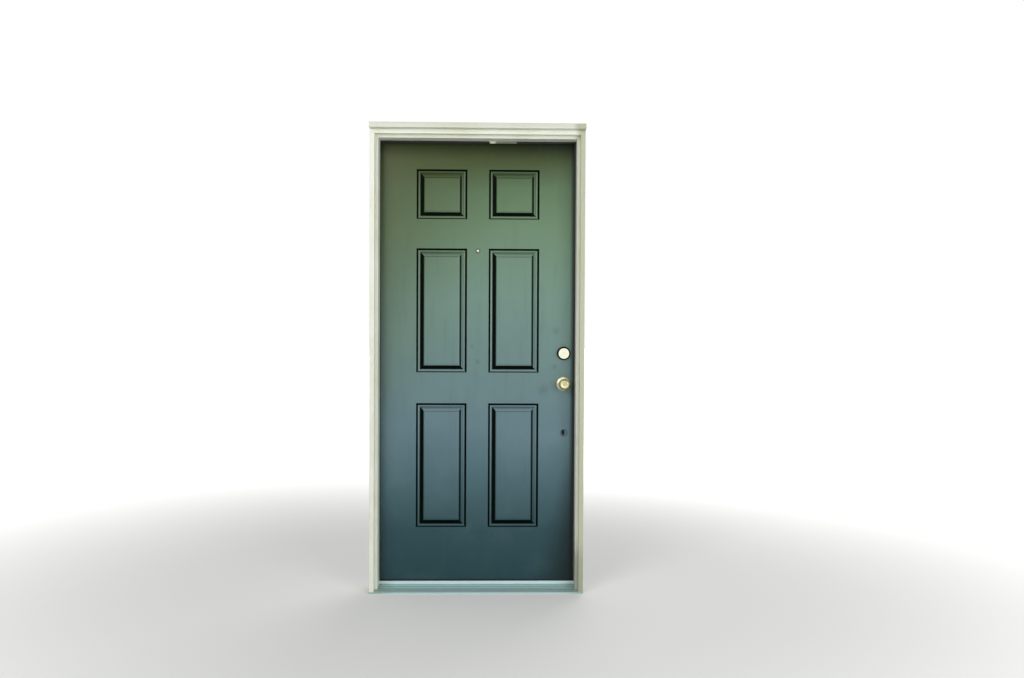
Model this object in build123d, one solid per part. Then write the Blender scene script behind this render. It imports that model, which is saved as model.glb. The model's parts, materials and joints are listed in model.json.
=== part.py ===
from build123d import *
import os
from math import atan2, cos, degrees, hypot, radians, sin, sqrt

# Six-panel entry door, hung in its own frame, inswing with the hinges on the left seen from outside.
# Millimetres. X runs to the right seen from outside, Y into the house, Z up. The origin is on the
# sill's underside, in the middle, in the plane of the jambs' outer edges.

# How far a cutter runs past the faces that it cuts, and past the door's face at the panels
overcut = 1.0
groove_overcut = 3.0

# Door slab
door_width = 908.0
door_height = 2007.0
door_thickness = 44.5
door_bottom_z = 36.0
edge_gap = 3.0
skin = 0.8
skin_return = 8.0
stile_width = 35.0
rail_height = 35.0
core_gap = 0.3

# Embossed panels: widths across, heights from the slab's foot upwards
panel_width = 229.0
mullion_width = 100.0
bottom_margin = 238.0
lower_panel_height = 567.5
lock_rail = 141.0
middle_panel_height = 565.0
upper_rail = 133.5
upper_panel_height = 225.5

# Ring round each panel, from its outer edge inwards: quirk, ovolo, valley, bevel and a fine lip
quirk_run = 2.4
quirk_floor = 1.6
quirk_depth = 3.8
quirk_rise = 2.8
bead_depth = 1.0
ovolo_run = 13.2
ovolo_bulge = 2.2
valley_depth = 9.0
valley_floor = 2.5
bevel_run = 16.1
lip_depth = 0.6
lip_run = 1.4

# Jambs, stops and seals
jamb_depth = 116.0
jamb_thickness = 21.0
housing_depth = 9.5
stop_projection = 12.5
stop_depth = 62.0
stop_arris = 1.5
kerf_from_jamb = 4.5
kerf_width = 3.0
kerf_depth = 10.0
seal_space = 8.0
hinge_seal_overhang = 2.5
strike_seal_overhang = 7.5
head_seal_overhang = 8.5
seal_jamb_gap = 1.2
seal_corner = 1.2
soft_gap = 0.3
pad_thickness = 1.0
pad_depth = 32.0
pad_height = 55.0
pad_inset = 6.0

# Moulding round the outer edge and the drip cap over it
casing_width = 21.0
casing_thickness = 32.0
casing_arris = 2.0
drip_projection = 28.0
drip_front_height = 23.0
drip_back_height = 28.0
drip_nose = 4.0
drip_arris = 1.5
drip_groove = 4.0
drip_groove_inset = 7.0

# Sill
sill_nose = 35.0
sill_nose_height = 6.0
deck_wall = 2.0
riser_y = 64.0
riser_foot_z = 5.0
deck_back_z = 16.0
riser_top_z = 27.9
ridge_count = 5
ridge_width = 1.6
ridge_height = 0.9
ridge_pitch = 11.0
ridge_first_y = 8.0
cap_top_z = 28.5
cap_floor_z = 12.0
cap_lift = 3.0
cap_bevel = 3.0
cap_back_slope = 7.0
cap_back_drop = 7.0
cap_arris = 1.0
cap_crown = 2.0
channel_wall = 5.0
channel_wall_z = 20.0
sweep_carrier = 2.5
sweep_fin = 1.6
sweep_fin_count = 4
sweep_fin_pitch = 8.0
sweep_inset = 2.0
sweep_side = 1.5

# Butt hinges
hinge_height = 102.0
hinge_leaf = 2.5
hinge_leaf_reach = 44.5
hinge_corner = 16.0
hinge_standoff = 8.0
knuckle_radius = 6.2
knuckle_count = 5
knuckle_gap = 0.4
knuckle_relief = 0.6
pin_radius = 3.15
running_gap = 0.05
pin_head_radius = 5.0
pin_head_height = 2.5
top_hinge_drop = 178.0
bottom_hinge_rise = 279.0

# Countersunk screws
screw_head_radius = 4.2
screw_head_height = 2.4
screw_radius = 2.0
screw_gap = 0.1

# Lockset and deadbolt
backset = 60.3
knob_z = 932.0
lock_spacing = 139.7
cross_bore_radius = 27.0
edge_bore_radius = 12.7
block_width = 110.0
block_height = 330.0
faceplate_height = 57.2
faceplate_width = 25.4
faceplate_thickness = 2.2
faceplate_corner = 6.35
faceplate_screw_rise = 20.5
case_radius = 11.0
cheek_gap = 9.3
cheek_half_height = 6.0
cheek_disc = 9.5
cheek_reach = 13.0
cheek_lap = 3.0
latch_throw = 12.7
latch_turn = 60.0
latch_half_width = 6.0
latch_half_height = 7.5
latch_length = 26.0
latch_bevel = 9.0
bolt_arris = 1.0
deadbolt_throw = 25.4
deadbolt_turn = 90.0
deadbolt_radius = 8.5
deadbolt_length = 45.0
bolt_set_back = 0.4
bolt_gap = 0.3
fit_gap = 0.1
crank_pin = 1.5
crank_play = 0.7
crank_wall = 3.0
crank_arm_wall = 1.0
lug_half = 3.8
lug_cap = 1.2
lug_corner = 2.5
tail_bar = 3.6
tail_neck = 7.0
tail_root = 2.0
tail_clearance = 1.0
tail_gap = 0.6
spindle_size = 7.5
spindle_reach = 15.0
spindle_hub = 6.5
turn_hub = 3.6
strike_thickness = 1.6
deadbolt_strike_thickness = 2.8
strike_width = 28.6
latch_strike_height = 57.2
latch_strike_screw = 20.6
deadbolt_strike_height = 70.0
deadbolt_strike_screw = 26.0
strike_corner = 4.0
strike_lip = 10.5
strike_lip_turn = 25.0
latch_hole_width = 15.0
latch_hole_height = 21.0
deadbolt_hole = 19.0

# Knobs, roses and collar
rose_radius = 32.0
rose_height = 9.0
rose_bore = 12.8
rose_rim = 3.0
rose_slope = 8.0
knob_neck = 12.5
knob_neck_gap = 1.0
knob_radius = 25.0
knob_projection = 60.5
knob_face_radius = 17.0
knob_dish_radius = 13.0
knob_dish_depth = 1.2
plug_radius = 6.5
knob_plug_length = 26.0
key_slot_width = 2.2
key_slot_height = 8.6
key_slot_depth = 18.0
button_stem = 4.0
button_length = 15.0
button_width = 5.0
button_height = 7.0
button_corner = 2.3
button_gap = 0.5
button_socket = 1.0
collar_radius = 31.0
collar_face_radius = 25.5
collar_rim = 2.0
collar_height = 16.0
collar_boss = 14.0
collar_boss_depth = 9.0
turn_plate_radius = 31.0
turn_plate_height = 7.0
turn_plate_rim = 2.5
turn_plate_slope = 5.0
turn_bore = 5.9
turn_grip_length = 34.0
turn_grip_width = 9.0
turn_grip_height = 15.0
turn_grip_end = 0.6
turn_grip_corner = 2.0
turn_grip_gap = 1.0
turn_hub_sink = 2.0
turn_hub_lap = 3.0
turn_tail = 2.6
turn_tail_gap = 0.5
post_radius = 3.0
post_length = 26.0
mount_screw_radius = 1.9
mount_screw_bite = 12.0
knob_post_offset = 22.0
deadbolt_post_offset = 16.0

# Door viewer
viewer_z = 1537.0
viewer_flange = 10.5
viewer_flange_height = 2.2
viewer_slope = 2.0
viewer_tube = 6.9
viewer_bore = 5.2
viewer_hole_gap = 0.35
viewer_inner_wall = 1.2
viewer_lap = 6.0
lens_radius = 6.4
lens_thickness = 3.4
lens_crown = 1.4

# Old puncture in the outer skin, below the knob
nick_from_edge = 63.0
nick_z = 712.0
nick_foot_radius = 4.2
nick_head_radius = 2.6
nick_height = 10.0
nick_lean = 1.0
nick_depth = 4.0

# Places worked out from the sizes above
rabbet_x = door_width / 2 + edge_gap
frame_x = rabbet_x + jamb_thickness
stop_x = rabbet_x - stop_projection
door_top_z = door_bottom_z + door_height
head_z = door_top_z + edge_gap
frame_top_z = head_z + jamb_thickness
face_y = stop_depth + seal_space
back_y = face_y + door_thickness
mid_y = face_y + door_thickness / 2
edge_x = door_width / 2
core_front = face_y + skin
core_back = back_y - skin
lock_x = edge_x - backset
nick_x = edge_x - nick_from_edge
deadbolt_z = knob_z + lock_spacing
pin_x = -(rabbet_x + edge_x) / 2
pin_y = back_y + hinge_standoff
hinge_centres = (
    door_bottom_z + bottom_hinge_rise + hinge_height / 2,
    (bottom_hinge_rise - top_hinge_drop + door_height) / 2 + door_bottom_z,
    door_top_z - top_hinge_drop - hinge_height / 2,
)
bead_start = quirk_run + quirk_floor + quirk_rise
valley_start = bead_start + ovolo_run
bevel_start = valley_start + valley_floor
ring_width = bevel_start + bevel_run + lip_run
emboss_zone = valley_depth + skin + overcut
cap_front_y = riser_y + deck_wall + soft_gap
cap_back_y = jamb_depth - channel_wall - soft_gap
drip_y = casing_thickness + drip_projection


def block(x0, x1, y0, y1, z0, z1):
    centre = Pos((x0 + x1) / 2, (y0 + y1) / 2, (z0 + z1) / 2)
    return centre * Box(abs(x1 - x0), abs(y1 - y0), abs(z1 - z0))


def rod_x(y, z, radius, x0, x1):
    return Pos((x0 + x1) / 2, y, z) * Rot(0, 90, 0) * Cylinder(radius, abs(x1 - x0))


def rod_y(x, z, radius, y0, y1):
    return Pos(x, (y0 + y1) / 2, z) * Rot(90, 0, 0) * Cylinder(radius, abs(y1 - y0))


def rod_z(x, y, radius, z0, z1):
    return Pos(x, y, (z0 + z1) / 2) * Cylinder(radius, abs(z1 - z0))


def outline(points, radii=0):
    return make_face(FilletPolyline(*points, radius=radii, close=True))


def upright(section, z0, z1):
    return extrude(Plane.XY.offset(z0) * section, amount=z1 - z0)


def crosswise(section, x0, x1):
    return extrude(Plane.YZ.offset(x0) * section, amount=x1 - x0)


def through(section, y0, y1):
    return extrude(Plane.XZ.offset(-y0) * section, amount=y0 - y1)


def turned(points, x, z):
    return Pos(x, 0, z) * revolve(outline(points), Axis.Y)


def flip_x(shape):
    return mirror(shape, Plane.YZ)


def flip_y(shape):
    return mirror(shape, Plane.XZ.offset(-mid_y))


def deck_line():
    """The sill's top line from nose to riser, with its ridges, as (y, z) points."""
    slope = (deck_back_z - sill_nose_height) / (riser_y + sill_nose)
    points = [(-sill_nose, sill_nose_height)]
    for number in range(ridge_count):
        start = ridge_first_y + number * ridge_pitch
        stop = start + ridge_width
        low = sill_nose_height + slope * (start + sill_nose)
        high = sill_nose_height + slope * (stop + sill_nose)
        points += [(start, low), (start, low + ridge_height)]
        points += [(stop, high + ridge_height), (stop, high)]
    return points + [(riser_y, deck_back_z)]


def above_deck(shape):
    """Copes the foot of an upright piece to the deck that it stands on."""
    front = -sill_nose - overcut
    cutter = deck_line() + [(riser_y, -overcut), (front, -overcut), (front, sill_nose_height)]
    return shape - crosswise(outline(cutter), -frame_x - overcut, frame_x + overcut)


def sill_plan(section):
    """Runs a sill section between the jambs, with horns under the moulding's feet."""
    middle = crosswise(section, -rabbet_x, rabbet_x)
    horns = crosswise(section, -frame_x, frame_x) & block(-frame_x, frame_x, -sill_nose, 0, 0, head_z)
    return middle + horns


# Frame


def bolt_pocket(width, height, z):
    front = mid_y - width / 2
    back = mid_y + width / 2
    return block(rabbet_x - overcut, frame_x + overcut, front, back, z - height / 2, z + height / 2)


def latch_pocket():
    return bolt_pocket(latch_hole_width, latch_hole_height, knob_z)


def deadbolt_pocket():
    return bolt_pocket(deadbolt_hole, deadbolt_hole, deadbolt_z)


def jamb_leg():
    leg = block(rabbet_x, frame_x, 0, jamb_depth, 0, frame_top_z)
    return leg - block(rabbet_x, rabbet_x + housing_depth, 0, jamb_depth, head_z, frame_top_z)


def hinge_jamb():
    leg = flip_x(jamb_leg())
    for z in hinge_centres:
        leg -= Pos(pin_x, pin_y, z) * leaf_plate(-1, screw_gap)
    return leg


def strike_jamb():
    leg = jamb_leg() - latch_pocket() - deadbolt_pocket()
    leg -= latch_strike_blank(screw_gap) + strike_lip_relief()
    return leg - deadbolt_strike_blank(screw_gap)


def head_jamb():
    reach = rabbet_x + housing_depth
    return block(-reach, reach, 0, jamb_depth, head_z, frame_top_z)


def stop_section(place):
    """A planted stop's section; place turns (distance from the jamb, y) into the section's plane."""
    kerf_far = kerf_from_jamb + kerf_width
    points = [
        (0, 0),
        (0, stop_depth),
        (kerf_from_jamb, stop_depth),
        (kerf_from_jamb, stop_depth - kerf_depth),
        (kerf_far, stop_depth - kerf_depth),
        (kerf_far, stop_depth),
        (stop_projection, stop_depth),
        (stop_projection, 0),
    ]
    return outline([place(*p) for p in points], [0, 0, 0, 0, 0, 0, stop_arris, stop_arris])


def strike_stop():
    section = stop_section(lambda away, y: (rabbet_x - away, y))
    return above_deck(upright(section, 0, head_z))


def hinge_stop():
    return flip_x(strike_stop())


def head_stop():
    section = stop_section(lambda away, y: (y, head_z - away))
    return crosswise(section, -stop_x, stop_x)


def casing_section(place):
    points = [(0, 0), (0, -casing_thickness), (casing_width, -casing_thickness), (casing_width, 0)]
    return outline([place(*p) for p in points], [0, casing_arris, casing_arris, 0])


def mitre(side):
    """The corner above the mitre line at the head of one moulding leg."""
    inner = rabbet_x - overcut
    top = head_z + casing_width + overcut
    points = [
        (side * inner, head_z - overcut),
        (side * (rabbet_x + casing_width + overcut), top),
        (side * inner, top),
    ]
    return through(outline(points), -casing_thickness - overcut, overcut)


def casing_right():
    leg = upright(casing_section(lambda out, y: (rabbet_x + out, y)), 0, head_z + casing_width)
    return above_deck(leg - mitre(1))


def casing_left():
    return flip_x(casing_right())


def casing_head():
    section = casing_section(lambda out, y: (y, head_z + out))
    reach = rabbet_x + casing_width
    return crosswise(section, -reach, reach) & head_wedge()


def head_wedge():
    """What lies between the two mitre lines."""
    reach = rabbet_x + casing_width
    points = [
        (-rabbet_x, head_z),
        (rabbet_x, head_z),
        (reach, head_z + casing_width),
        (-reach, head_z + casing_width),
    ]
    return through(outline(points), -casing_thickness - overcut, overcut)


def drip_cap():
    low = head_z + casing_width
    groove_back = -drip_y + drip_groove_inset + drip_groove
    points = [
        (0, low),
        (groove_back, low),
        (groove_back, low + drip_groove / 2),
        (groove_back - drip_groove, low + drip_groove / 2),
        (groove_back - drip_groove, low),
        (-drip_y, low),
        (-drip_y, low + drip_front_height),
        (0, low + drip_back_height),
    ]
    section = outline(points, [0, 0, 0, 0, 0, drip_arris, drip_nose, 0])
    return crosswise(section, -frame_x, frame_x)


def sill_deck():
    back = riser_y + deck_wall
    nose = -sill_nose + deck_wall
    points = [(-sill_nose, 0)] + deck_line()
    points += [(riser_y, riser_top_z), (back, riser_top_z), (back, riser_foot_z), (riser_y, riser_foot_z)]
    points += [(riser_y, deck_back_z - deck_wall), (nose, sill_nose_height - deck_wall), (nose, 0)]
    return sill_plan(outline(points))


def sill_substrate():
    nose = -sill_nose + deck_wall
    back = riser_y + deck_wall
    points = [
        (nose, 0),
        (nose, sill_nose_height - deck_wall),
        (riser_y, deck_back_z - deck_wall),
        (riser_y, riser_foot_z),
        (back, riser_foot_z),
        (back, cap_floor_z),
        (jamb_depth - channel_wall, cap_floor_z),
        (jamb_depth - channel_wall, channel_wall_z),
        (jamb_depth, channel_wall_z),
        (jamb_depth, 0),
    ]
    return sill_plan(outline(points))


def sill_cap():
    low = cap_floor_z + cap_lift
    points = [
        (cap_front_y, low),
        (cap_front_y, cap_top_z - cap_bevel),
        (cap_front_y + cap_bevel, cap_top_z),
        (cap_back_y - cap_back_slope, cap_top_z),
        (cap_back_y, cap_top_z - cap_back_drop),
        (cap_back_y, low),
    ]
    reach = rabbet_x - soft_gap
    return crosswise(outline(points, [0, 0, cap_arris, cap_crown, 0, 0]), -reach, reach)


def seal_section(overhang, place):
    """Compression seal: a foot in the kerf and a bulb that stands past the stop's face."""
    kerf_far = kerf_from_jamb + kerf_width
    root = stop_depth - kerf_depth + soft_gap
    tip = face_y - soft_gap
    nose = stop_projection + overhang
    points = [
        (kerf_from_jamb + soft_gap, stop_depth),
        (kerf_from_jamb + soft_gap, root),
        (kerf_far - soft_gap, root),
        (kerf_far - soft_gap, stop_depth),
        (stop_projection, stop_depth),
        (nose, stop_depth + seal_corner),
        (nose, tip - seal_corner * 2),
        (nose - seal_corner * 2, tip),
        (kerf_from_jamb, tip),
        (seal_jamb_gap, stop_depth + seal_corner * 2),
        (seal_jamb_gap, stop_depth),
    ]
    soft = [0, 0, 0, 0, 0, seal_corner / 2, seal_corner, seal_corner, seal_corner, seal_corner, 0]
    return outline([place(*p) for p in points], soft)


def weatherstrip_strike():
    section = seal_section(strike_seal_overhang, lambda away, y: (rabbet_x - away, y))
    return upright(section, cap_top_z, head_z)


def weatherstrip_hinge():
    section = seal_section(hinge_seal_overhang, lambda away, y: (away - rabbet_x, y))
    return upright(section, cap_top_z, head_z)


def weatherstrip_head():
    section = seal_section(head_seal_overhang, lambda away, y: (y, head_z - away))
    left = -stop_x + hinge_seal_overhang + soft_gap
    right = stop_x - strike_seal_overhang - soft_gap
    return crosswise(section, left, right)


def corner_pads():
    y0 = face_y + pad_inset
    pad = block(rabbet_x - pad_thickness, rabbet_x, y0, y0 + pad_depth, cap_top_z, cap_top_z + pad_height)
    return [pad, flip_x(pad)]


# Screws: the head's top at the origin, pointing down


def flat_screw(length, radius=screw_radius):
    head = Pos(0, 0, -screw_head_height / 2) * Cone(radius, screw_head_radius, screw_head_height)
    return head + Pos(0, 0, -(screw_head_height + length) / 2) * Cylinder(radius, length - screw_head_height)


def screw_hole(length, radius=screw_radius):
    bore = Pos(0, 0, -length / 2) * Cylinder(radius + screw_gap, length + 2 * screw_gap)
    return bore + countersink(radius)


def countersink(radius=screw_radius):
    top = screw_head_radius + screw_gap
    points = [
        (0, overcut),
        (top, overcut),
        (top, 0),
        (radius + screw_gap, -screw_head_height),
        (0, -screw_head_height),
    ]
    return revolve(Plane.XZ * outline(points), Axis.Z)


def strike_screw_places():
    places = []
    for centre, rise in ((knob_z, latch_strike_screw), (deadbolt_z, deadbolt_strike_screw)):
        for sign in (-1, 1):
            places.append(Pos(rabbet_x, mid_y, centre + sign * rise) * Rot(0, -90, 0))
    return places


def faceplate_screw_places():
    places = []
    for centre in (knob_z, deadbolt_z):
        for sign in (-1, 1):
            places.append(Pos(edge_x, mid_y, centre + sign * faceplate_screw_rise) * Rot(0, 90, 0))
    return places


# Strikes


def latch_strike_blank(grow=0.0):
    """The strike plate with its curved lip, before its holes."""
    half = strike_width / 2
    lip_y = mid_y + half
    run = strike_lip * cos(radians(strike_lip_turn))
    rise = strike_lip * sin(radians(strike_lip_turn))
    back = rabbet_x + strike_thickness + grow
    points = [
        (rabbet_x, mid_y - half - grow),
        (rabbet_x, lip_y),
        (rabbet_x + rise, lip_y + run),
        (back + rise, lip_y + run),
        (back, lip_y),
        (back, mid_y - half - grow),
    ]
    half_z = latch_strike_height / 2 + grow
    return upright(outline(points), knob_z - half_z, knob_z + half_z)


def strike_lip_relief():
    """The wedge cut off the jamb's inner arris in front of the strike's lip."""
    lip_y = mid_y + strike_width / 2
    tip_y = lip_y + strike_lip * cos(radians(strike_lip_turn))
    rise = strike_lip * sin(radians(strike_lip_turn))
    inner = rabbet_x - overcut
    points = [(inner, lip_y), (rabbet_x, lip_y), (rabbet_x + rise, tip_y), (inner, tip_y)]
    half_z = latch_strike_height / 2 + screw_gap
    return upright(outline(points), knob_z - half_z, knob_z + half_z)


def latch_strike():
    plate = latch_strike_blank() - latch_pocket()
    for place in strike_screw_places()[:2]:
        plate -= place * countersink()
    return plate


def deadbolt_strike_blank(grow=0.0):
    half_y = strike_width / 2 + grow
    half_z = deadbolt_strike_height / 2 + grow
    points = [(-half_y, -half_z), (half_y, -half_z), (half_y, half_z), (-half_y, half_z)]
    places = [(mid_y + y, deadbolt_z + z) for y, z in points]
    return crosswise(outline(places, strike_corner), rabbet_x, rabbet_x + deadbolt_strike_thickness + grow)


def deadbolt_strike():
    plate = deadbolt_strike_blank() - deadbolt_pocket()
    for place in strike_screw_places()[2:]:
        plate -= place * countersink()
    return plate


# Hinges, about their pin at the origin: side -1 is the jamb's leaf, 1 the door's


def leaf_plate(side, grow=0.0):
    inner = (rabbet_x - edge_x) / 2
    outer = inner + hinge_leaf + grow
    half = hinge_height / 2 + grow
    reach = hinge_leaf_reach + grow
    points = [(0, -half), (0, half), (-reach, half), (-reach, -half)]
    section = outline(points, [0, 0, hinge_corner, hinge_corner])
    if side > 0:
        return crosswise(section, inner, outer)
    return crosswise(section, -outer, -inner)


def knuckle_spans(side):
    step = hinge_height / knuckle_count
    first = 0 if side < 0 else 1
    spans = []
    for number in range(first, knuckle_count, 2):
        low = -hinge_height / 2 + number * step
        spans.append((low, low + step))
    return spans


def hinge_leaf_solid(side):
    leaf = leaf_plate(side)
    clear = knuckle_radius + knuckle_relief
    for low, high in knuckle_spans(-side):
        leaf -= block(-clear, clear, -clear, clear, low, high)
    for low, high in knuckle_spans(side):
        leaf += rod_z(0, 0, knuckle_radius, low + knuckle_gap / 2, high - knuckle_gap / 2)
    return leaf - rod_z(0, 0, pin_radius + running_gap, -hinge_height, hinge_height)


def hinge_pin():
    top = hinge_height / 2
    pin = rod_z(0, 0, pin_radius, -top, top)
    crown = rod_z(0, 0, pin_head_radius, top, top + pin_head_height)
    tip = rod_z(0, 0, pin_head_radius, -top - pin_head_height, -top)
    return pin + crown + tip


def hinge_pins():
    return [Pos(pin_x, pin_y, z) * hinge_pin() for z in hinge_centres]


# Door slab


def ring_section():
    """Section of the groove round a panel: x runs inwards from the ring's outer edge, y into the door."""
    quirk_end = quirk_run + quirk_floor
    run = ovolo_run
    drop = valley_depth - bead_depth
    chord = hypot(run, drop)
    middle = (
        bead_start + run / 2 + ovolo_bulge * drop / chord,
        bead_depth + drop / 2 - ovolo_bulge * run / chord,
    )
    lead_in = Polyline(
        (0, -groove_overcut),
        (0, 0),
        (quirk_run, quirk_depth),
        (quirk_end, quirk_depth),
        (bead_start, bead_depth),
    )
    ovolo = ThreePointArc((bead_start, bead_depth), middle, (valley_start, valley_depth))
    lead_out = Polyline(
        (valley_start, valley_depth),
        (bevel_start, valley_depth),
        (bevel_start + bevel_run, lip_depth),
        (ring_width, 0),
        (ring_width, -groove_overcut),
        (0, -groove_overcut),
    )
    return make_face(lead_in + ovolo + lead_out)


def groove_side(length):
    """One mitred run of the groove, upright, with its outer edge on the origin and x inwards."""
    half = length / 2
    run = upright(ring_section(), -half, half)
    points = [(0, -half), (0, half), (ring_width, half - ring_width), (ring_width, ring_width - half)]
    return run & through(outline(points), -groove_overcut, valley_depth + overcut)


def panel_ring(height):
    """The groove round one panel, centred on the origin and cut towards +Y."""
    upright_side = groove_side(height)
    level_side = groove_side(panel_width)
    left = Pos(-panel_width / 2, 0, 0) * upright_side
    right = Pos(panel_width / 2, 0, 0) * Rot(0, 180, 0) * upright_side
    bottom = Pos(0, 0, -height / 2) * Rot(0, -90, 0) * level_side
    top = Pos(0, 0, height / 2) * Rot(0, 90, 0) * level_side
    return left + right + bottom + top


def panel_rows():
    """Centre height and height of each row of panels."""
    rows = []
    low = door_bottom_z + bottom_margin
    for height, rail in (
        (lower_panel_height, lock_rail),
        (middle_panel_height, upper_rail),
        (upper_panel_height, 0),
    ):
        rows.append((low + height / 2, height))
        low += height + rail
    return rows


def panel_grooves(shift):
    """The grooves round all six panels of the outer face, moved into the door by shift."""
    centre_x = (mullion_width + panel_width) / 2
    cutters = []
    for z, height in panel_rows():
        ring = panel_ring(height)
        for x in (-centre_x, centre_x):
            cutters.append(Pos(x, face_y + shift, z) * ring)
    return cutters


def nick(y0, y1):
    foot = rod_y(nick_x, nick_z - nick_height / 2 + nick_foot_radius, nick_foot_radius, y0, y1)
    upper_x = nick_x + nick_lean
    upper_z = nick_z + nick_height / 2 - nick_head_radius
    head = rod_y(upper_x, upper_z, nick_head_radius, y0, y1)
    waist = block(upper_x - nick_head_radius, upper_x + nick_head_radius, y0, y1, nick_z - nick_lean, upper_z)
    return foot + head + waist


def skin_sheet():
    """One embossed face, bent back along the hinge edge and the lock edge."""
    outside = block(-edge_x, edge_x, face_y, face_y + emboss_zone, door_bottom_z, door_top_z)
    for cutter in panel_grooves(0):
        outside -= cutter
    back = face_y + emboss_zone + overcut
    low = door_bottom_z - overcut
    top = door_top_z + overcut
    inner_x = edge_x - skin
    outer_x = edge_x + overcut
    inside = block(-inner_x, inner_x, face_y + skin, back, low, top)
    for cutter in panel_grooves(skin):
        inside -= cutter
    sheet = outside - inside
    for side in (-1, 1):
        sheet -= block(side * inner_x, side * outer_x, face_y + skin_return, back, low, top)
    return sheet - cross_bores() - viewer_hole()


def through_door(x, z, radius):
    return rod_y(x, z, radius, face_y - overcut, back_y + overcut)


def cross_bores():
    lower = through_door(lock_x, knob_z, cross_bore_radius)
    return lower + through_door(lock_x, deadbolt_z, cross_bore_radius)


def edge_bores():
    lower = rod_x(mid_y, knob_z, edge_bore_radius, lock_x, edge_x + overcut)
    return lower + rod_x(mid_y, deadbolt_z, edge_bore_radius, lock_x, edge_x + overcut)


def viewer_hole():
    return through_door(0, viewer_z, viewer_tube + viewer_hole_gap)


def hinge_mortises():
    leaf = leaf_plate(1, screw_gap)
    return [Pos(pin_x, pin_y, z) * leaf for z in hinge_centres]


def skin_outer():
    sheet = skin_sheet() - nick(face_y - overcut, face_y + skin + overcut)
    for mortise in hinge_mortises():
        sheet -= mortise
    return sheet


def skin_inner():
    sheet = flip_y(skin_sheet())
    for mortise in hinge_mortises():
        sheet -= mortise
    return sheet


def stile(side):
    """A wooden edge member, rebated for the returns of both skins."""
    inner = side * (edge_x - stile_width)
    wood = block(inner, side * edge_x, core_front, core_back, door_bottom_z, door_top_z)
    for y0, y1 in ((core_front, face_y + skin_return), (back_y - skin_return, core_back)):
        wood -= block(side * (edge_x - skin), side * (edge_x + overcut), y0, y1, door_bottom_z, door_top_z)
    return wood


def hinge_stile():
    wood = stile(-1)
    for mortise in hinge_mortises():
        wood -= mortise
    return wood


def lock_stile():
    wood = stile(1) - cross_bores() - edge_bores()
    for centre in (knob_z, deadbolt_z):
        wood -= faceplate_blank(centre, screw_gap)
    return wood


def rail(z0):
    reach = edge_x - stile_width
    return block(-reach, reach, core_front, core_back, z0, z0 + rail_height)


def block_span():
    middle = (knob_z + deadbolt_z) / 2
    return middle - block_height / 2, middle + block_height / 2


def lock_block():
    outer = edge_x - stile_width
    low, high = block_span()
    wood = block(outer - block_width, outer, core_front, core_back, low, high)
    return wood - cross_bores() - edge_bores()


def foam_core():
    reach = edge_x - stile_width
    low, high = block_span()
    foam = block(-reach, reach, core_front, core_back, door_bottom_z + rail_height, door_top_z - rail_height)
    foam -= block(reach - block_width, reach + overcut, core_front - overcut, core_back + overcut, low, high)
    for cutter in panel_grooves(skin + core_gap):
        foam -= cutter
        foam -= flip_y(cutter)
    return foam - viewer_hole() - nick(core_front - overcut, core_front + nick_depth)


def door_sweep():
    """Finned vinyl strip under the slab, just clear of the sill's cap."""
    low = cap_top_z + soft_gap
    carrier_low = door_bottom_z - sweep_carrier
    front = face_y + sweep_inset
    back = back_y - sweep_inset
    middle = (cap_front_y + cap_bevel + cap_back_y - cap_back_slope) / 2
    points = [(front, door_bottom_z), (front, carrier_low)]
    for number in range(sweep_fin_count):
        centre = middle + (number - (sweep_fin_count - 1) / 2) * sweep_fin_pitch
        points += [
            (centre - sweep_fin, carrier_low),
            (centre - sweep_fin / 2, low),
            (centre + sweep_fin / 2, low),
            (centre + sweep_fin, carrier_low),
        ]
    points += [(back, carrier_low), (back, door_bottom_z)]
    return crosswise(outline(points), -edge_x + sweep_side, edge_x - sweep_side)


# Lock cases, bolts and cranks. The crank turns about Y in the cross bore and slides the bolt along X.


def faceplate_blank(centre, grow=0.0):
    half_y = faceplate_width / 2 + grow
    half_z = faceplate_height / 2 + grow
    points = [(-half_y, -half_z), (half_y, -half_z), (half_y, half_z), (-half_y, half_z)]
    places = [(mid_y + y, centre + z) for y, z in points]
    return crosswise(outline(places, faceplate_corner), edge_x - faceplate_thickness - grow, edge_x)


def latch_channel(gap):
    half_y = latch_half_width + gap
    half_z = latch_half_height + gap
    return block(lock_x, edge_x + overcut, mid_y - half_y, mid_y + half_y, knob_z - half_z, knob_z + half_z)


def deadbolt_channel(gap):
    return rod_x(mid_y, deadbolt_z, deadbolt_radius + gap, lock_x, edge_x + overcut)


def lock_faceplates():
    latch_plate = faceplate_blank(knob_z) - latch_channel(bolt_gap)
    deadbolt_plate = faceplate_blank(deadbolt_z) - deadbolt_channel(bolt_gap)
    for place in faceplate_screw_places():
        latch_plate -= place * countersink()
        deadbolt_plate -= place * countersink()
    return [latch_plate, deadbolt_plate]


def lock_case(centre, channel, hub):
    """A tube behind the faceplate, with two cheeks that carry the crank's hub in the cross bore."""
    tube_end = lock_x + cross_bore_radius
    tube = rod_x(mid_y, centre, case_radius, tube_end, edge_x - faceplate_thickness)
    case = tube
    low = centre - cheek_half_height
    high = centre + cheek_half_height
    for side in (-1, 1):
        y0 = mid_y + side * cheek_gap
        y1 = mid_y + side * case_radius
        case += block(lock_x - cheek_reach, tube_end + cheek_lap, y0, y1, low, high)
        case += rod_y(lock_x, centre, cheek_disc, y0, y1)
    cut_low = centre - case_radius
    cut_high = centre + case_radius
    case -= channel & block(tube_end - overcut, edge_x, face_y, back_y, cut_low, cut_high)
    return case - rod_y(lock_x, centre, hub + fit_gap, face_y, back_y)


def crank_radius(throw, turn):
    return throw / 2 / sin(radians(turn / 2))


def crank_pin_place(throw, turn):
    """The crank pin at rest, with the bolt drawn back, from the hub's axis."""
    reach = crank_radius(throw, turn)
    return -throw / 2, reach * cos(radians(turn / 2))


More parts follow.
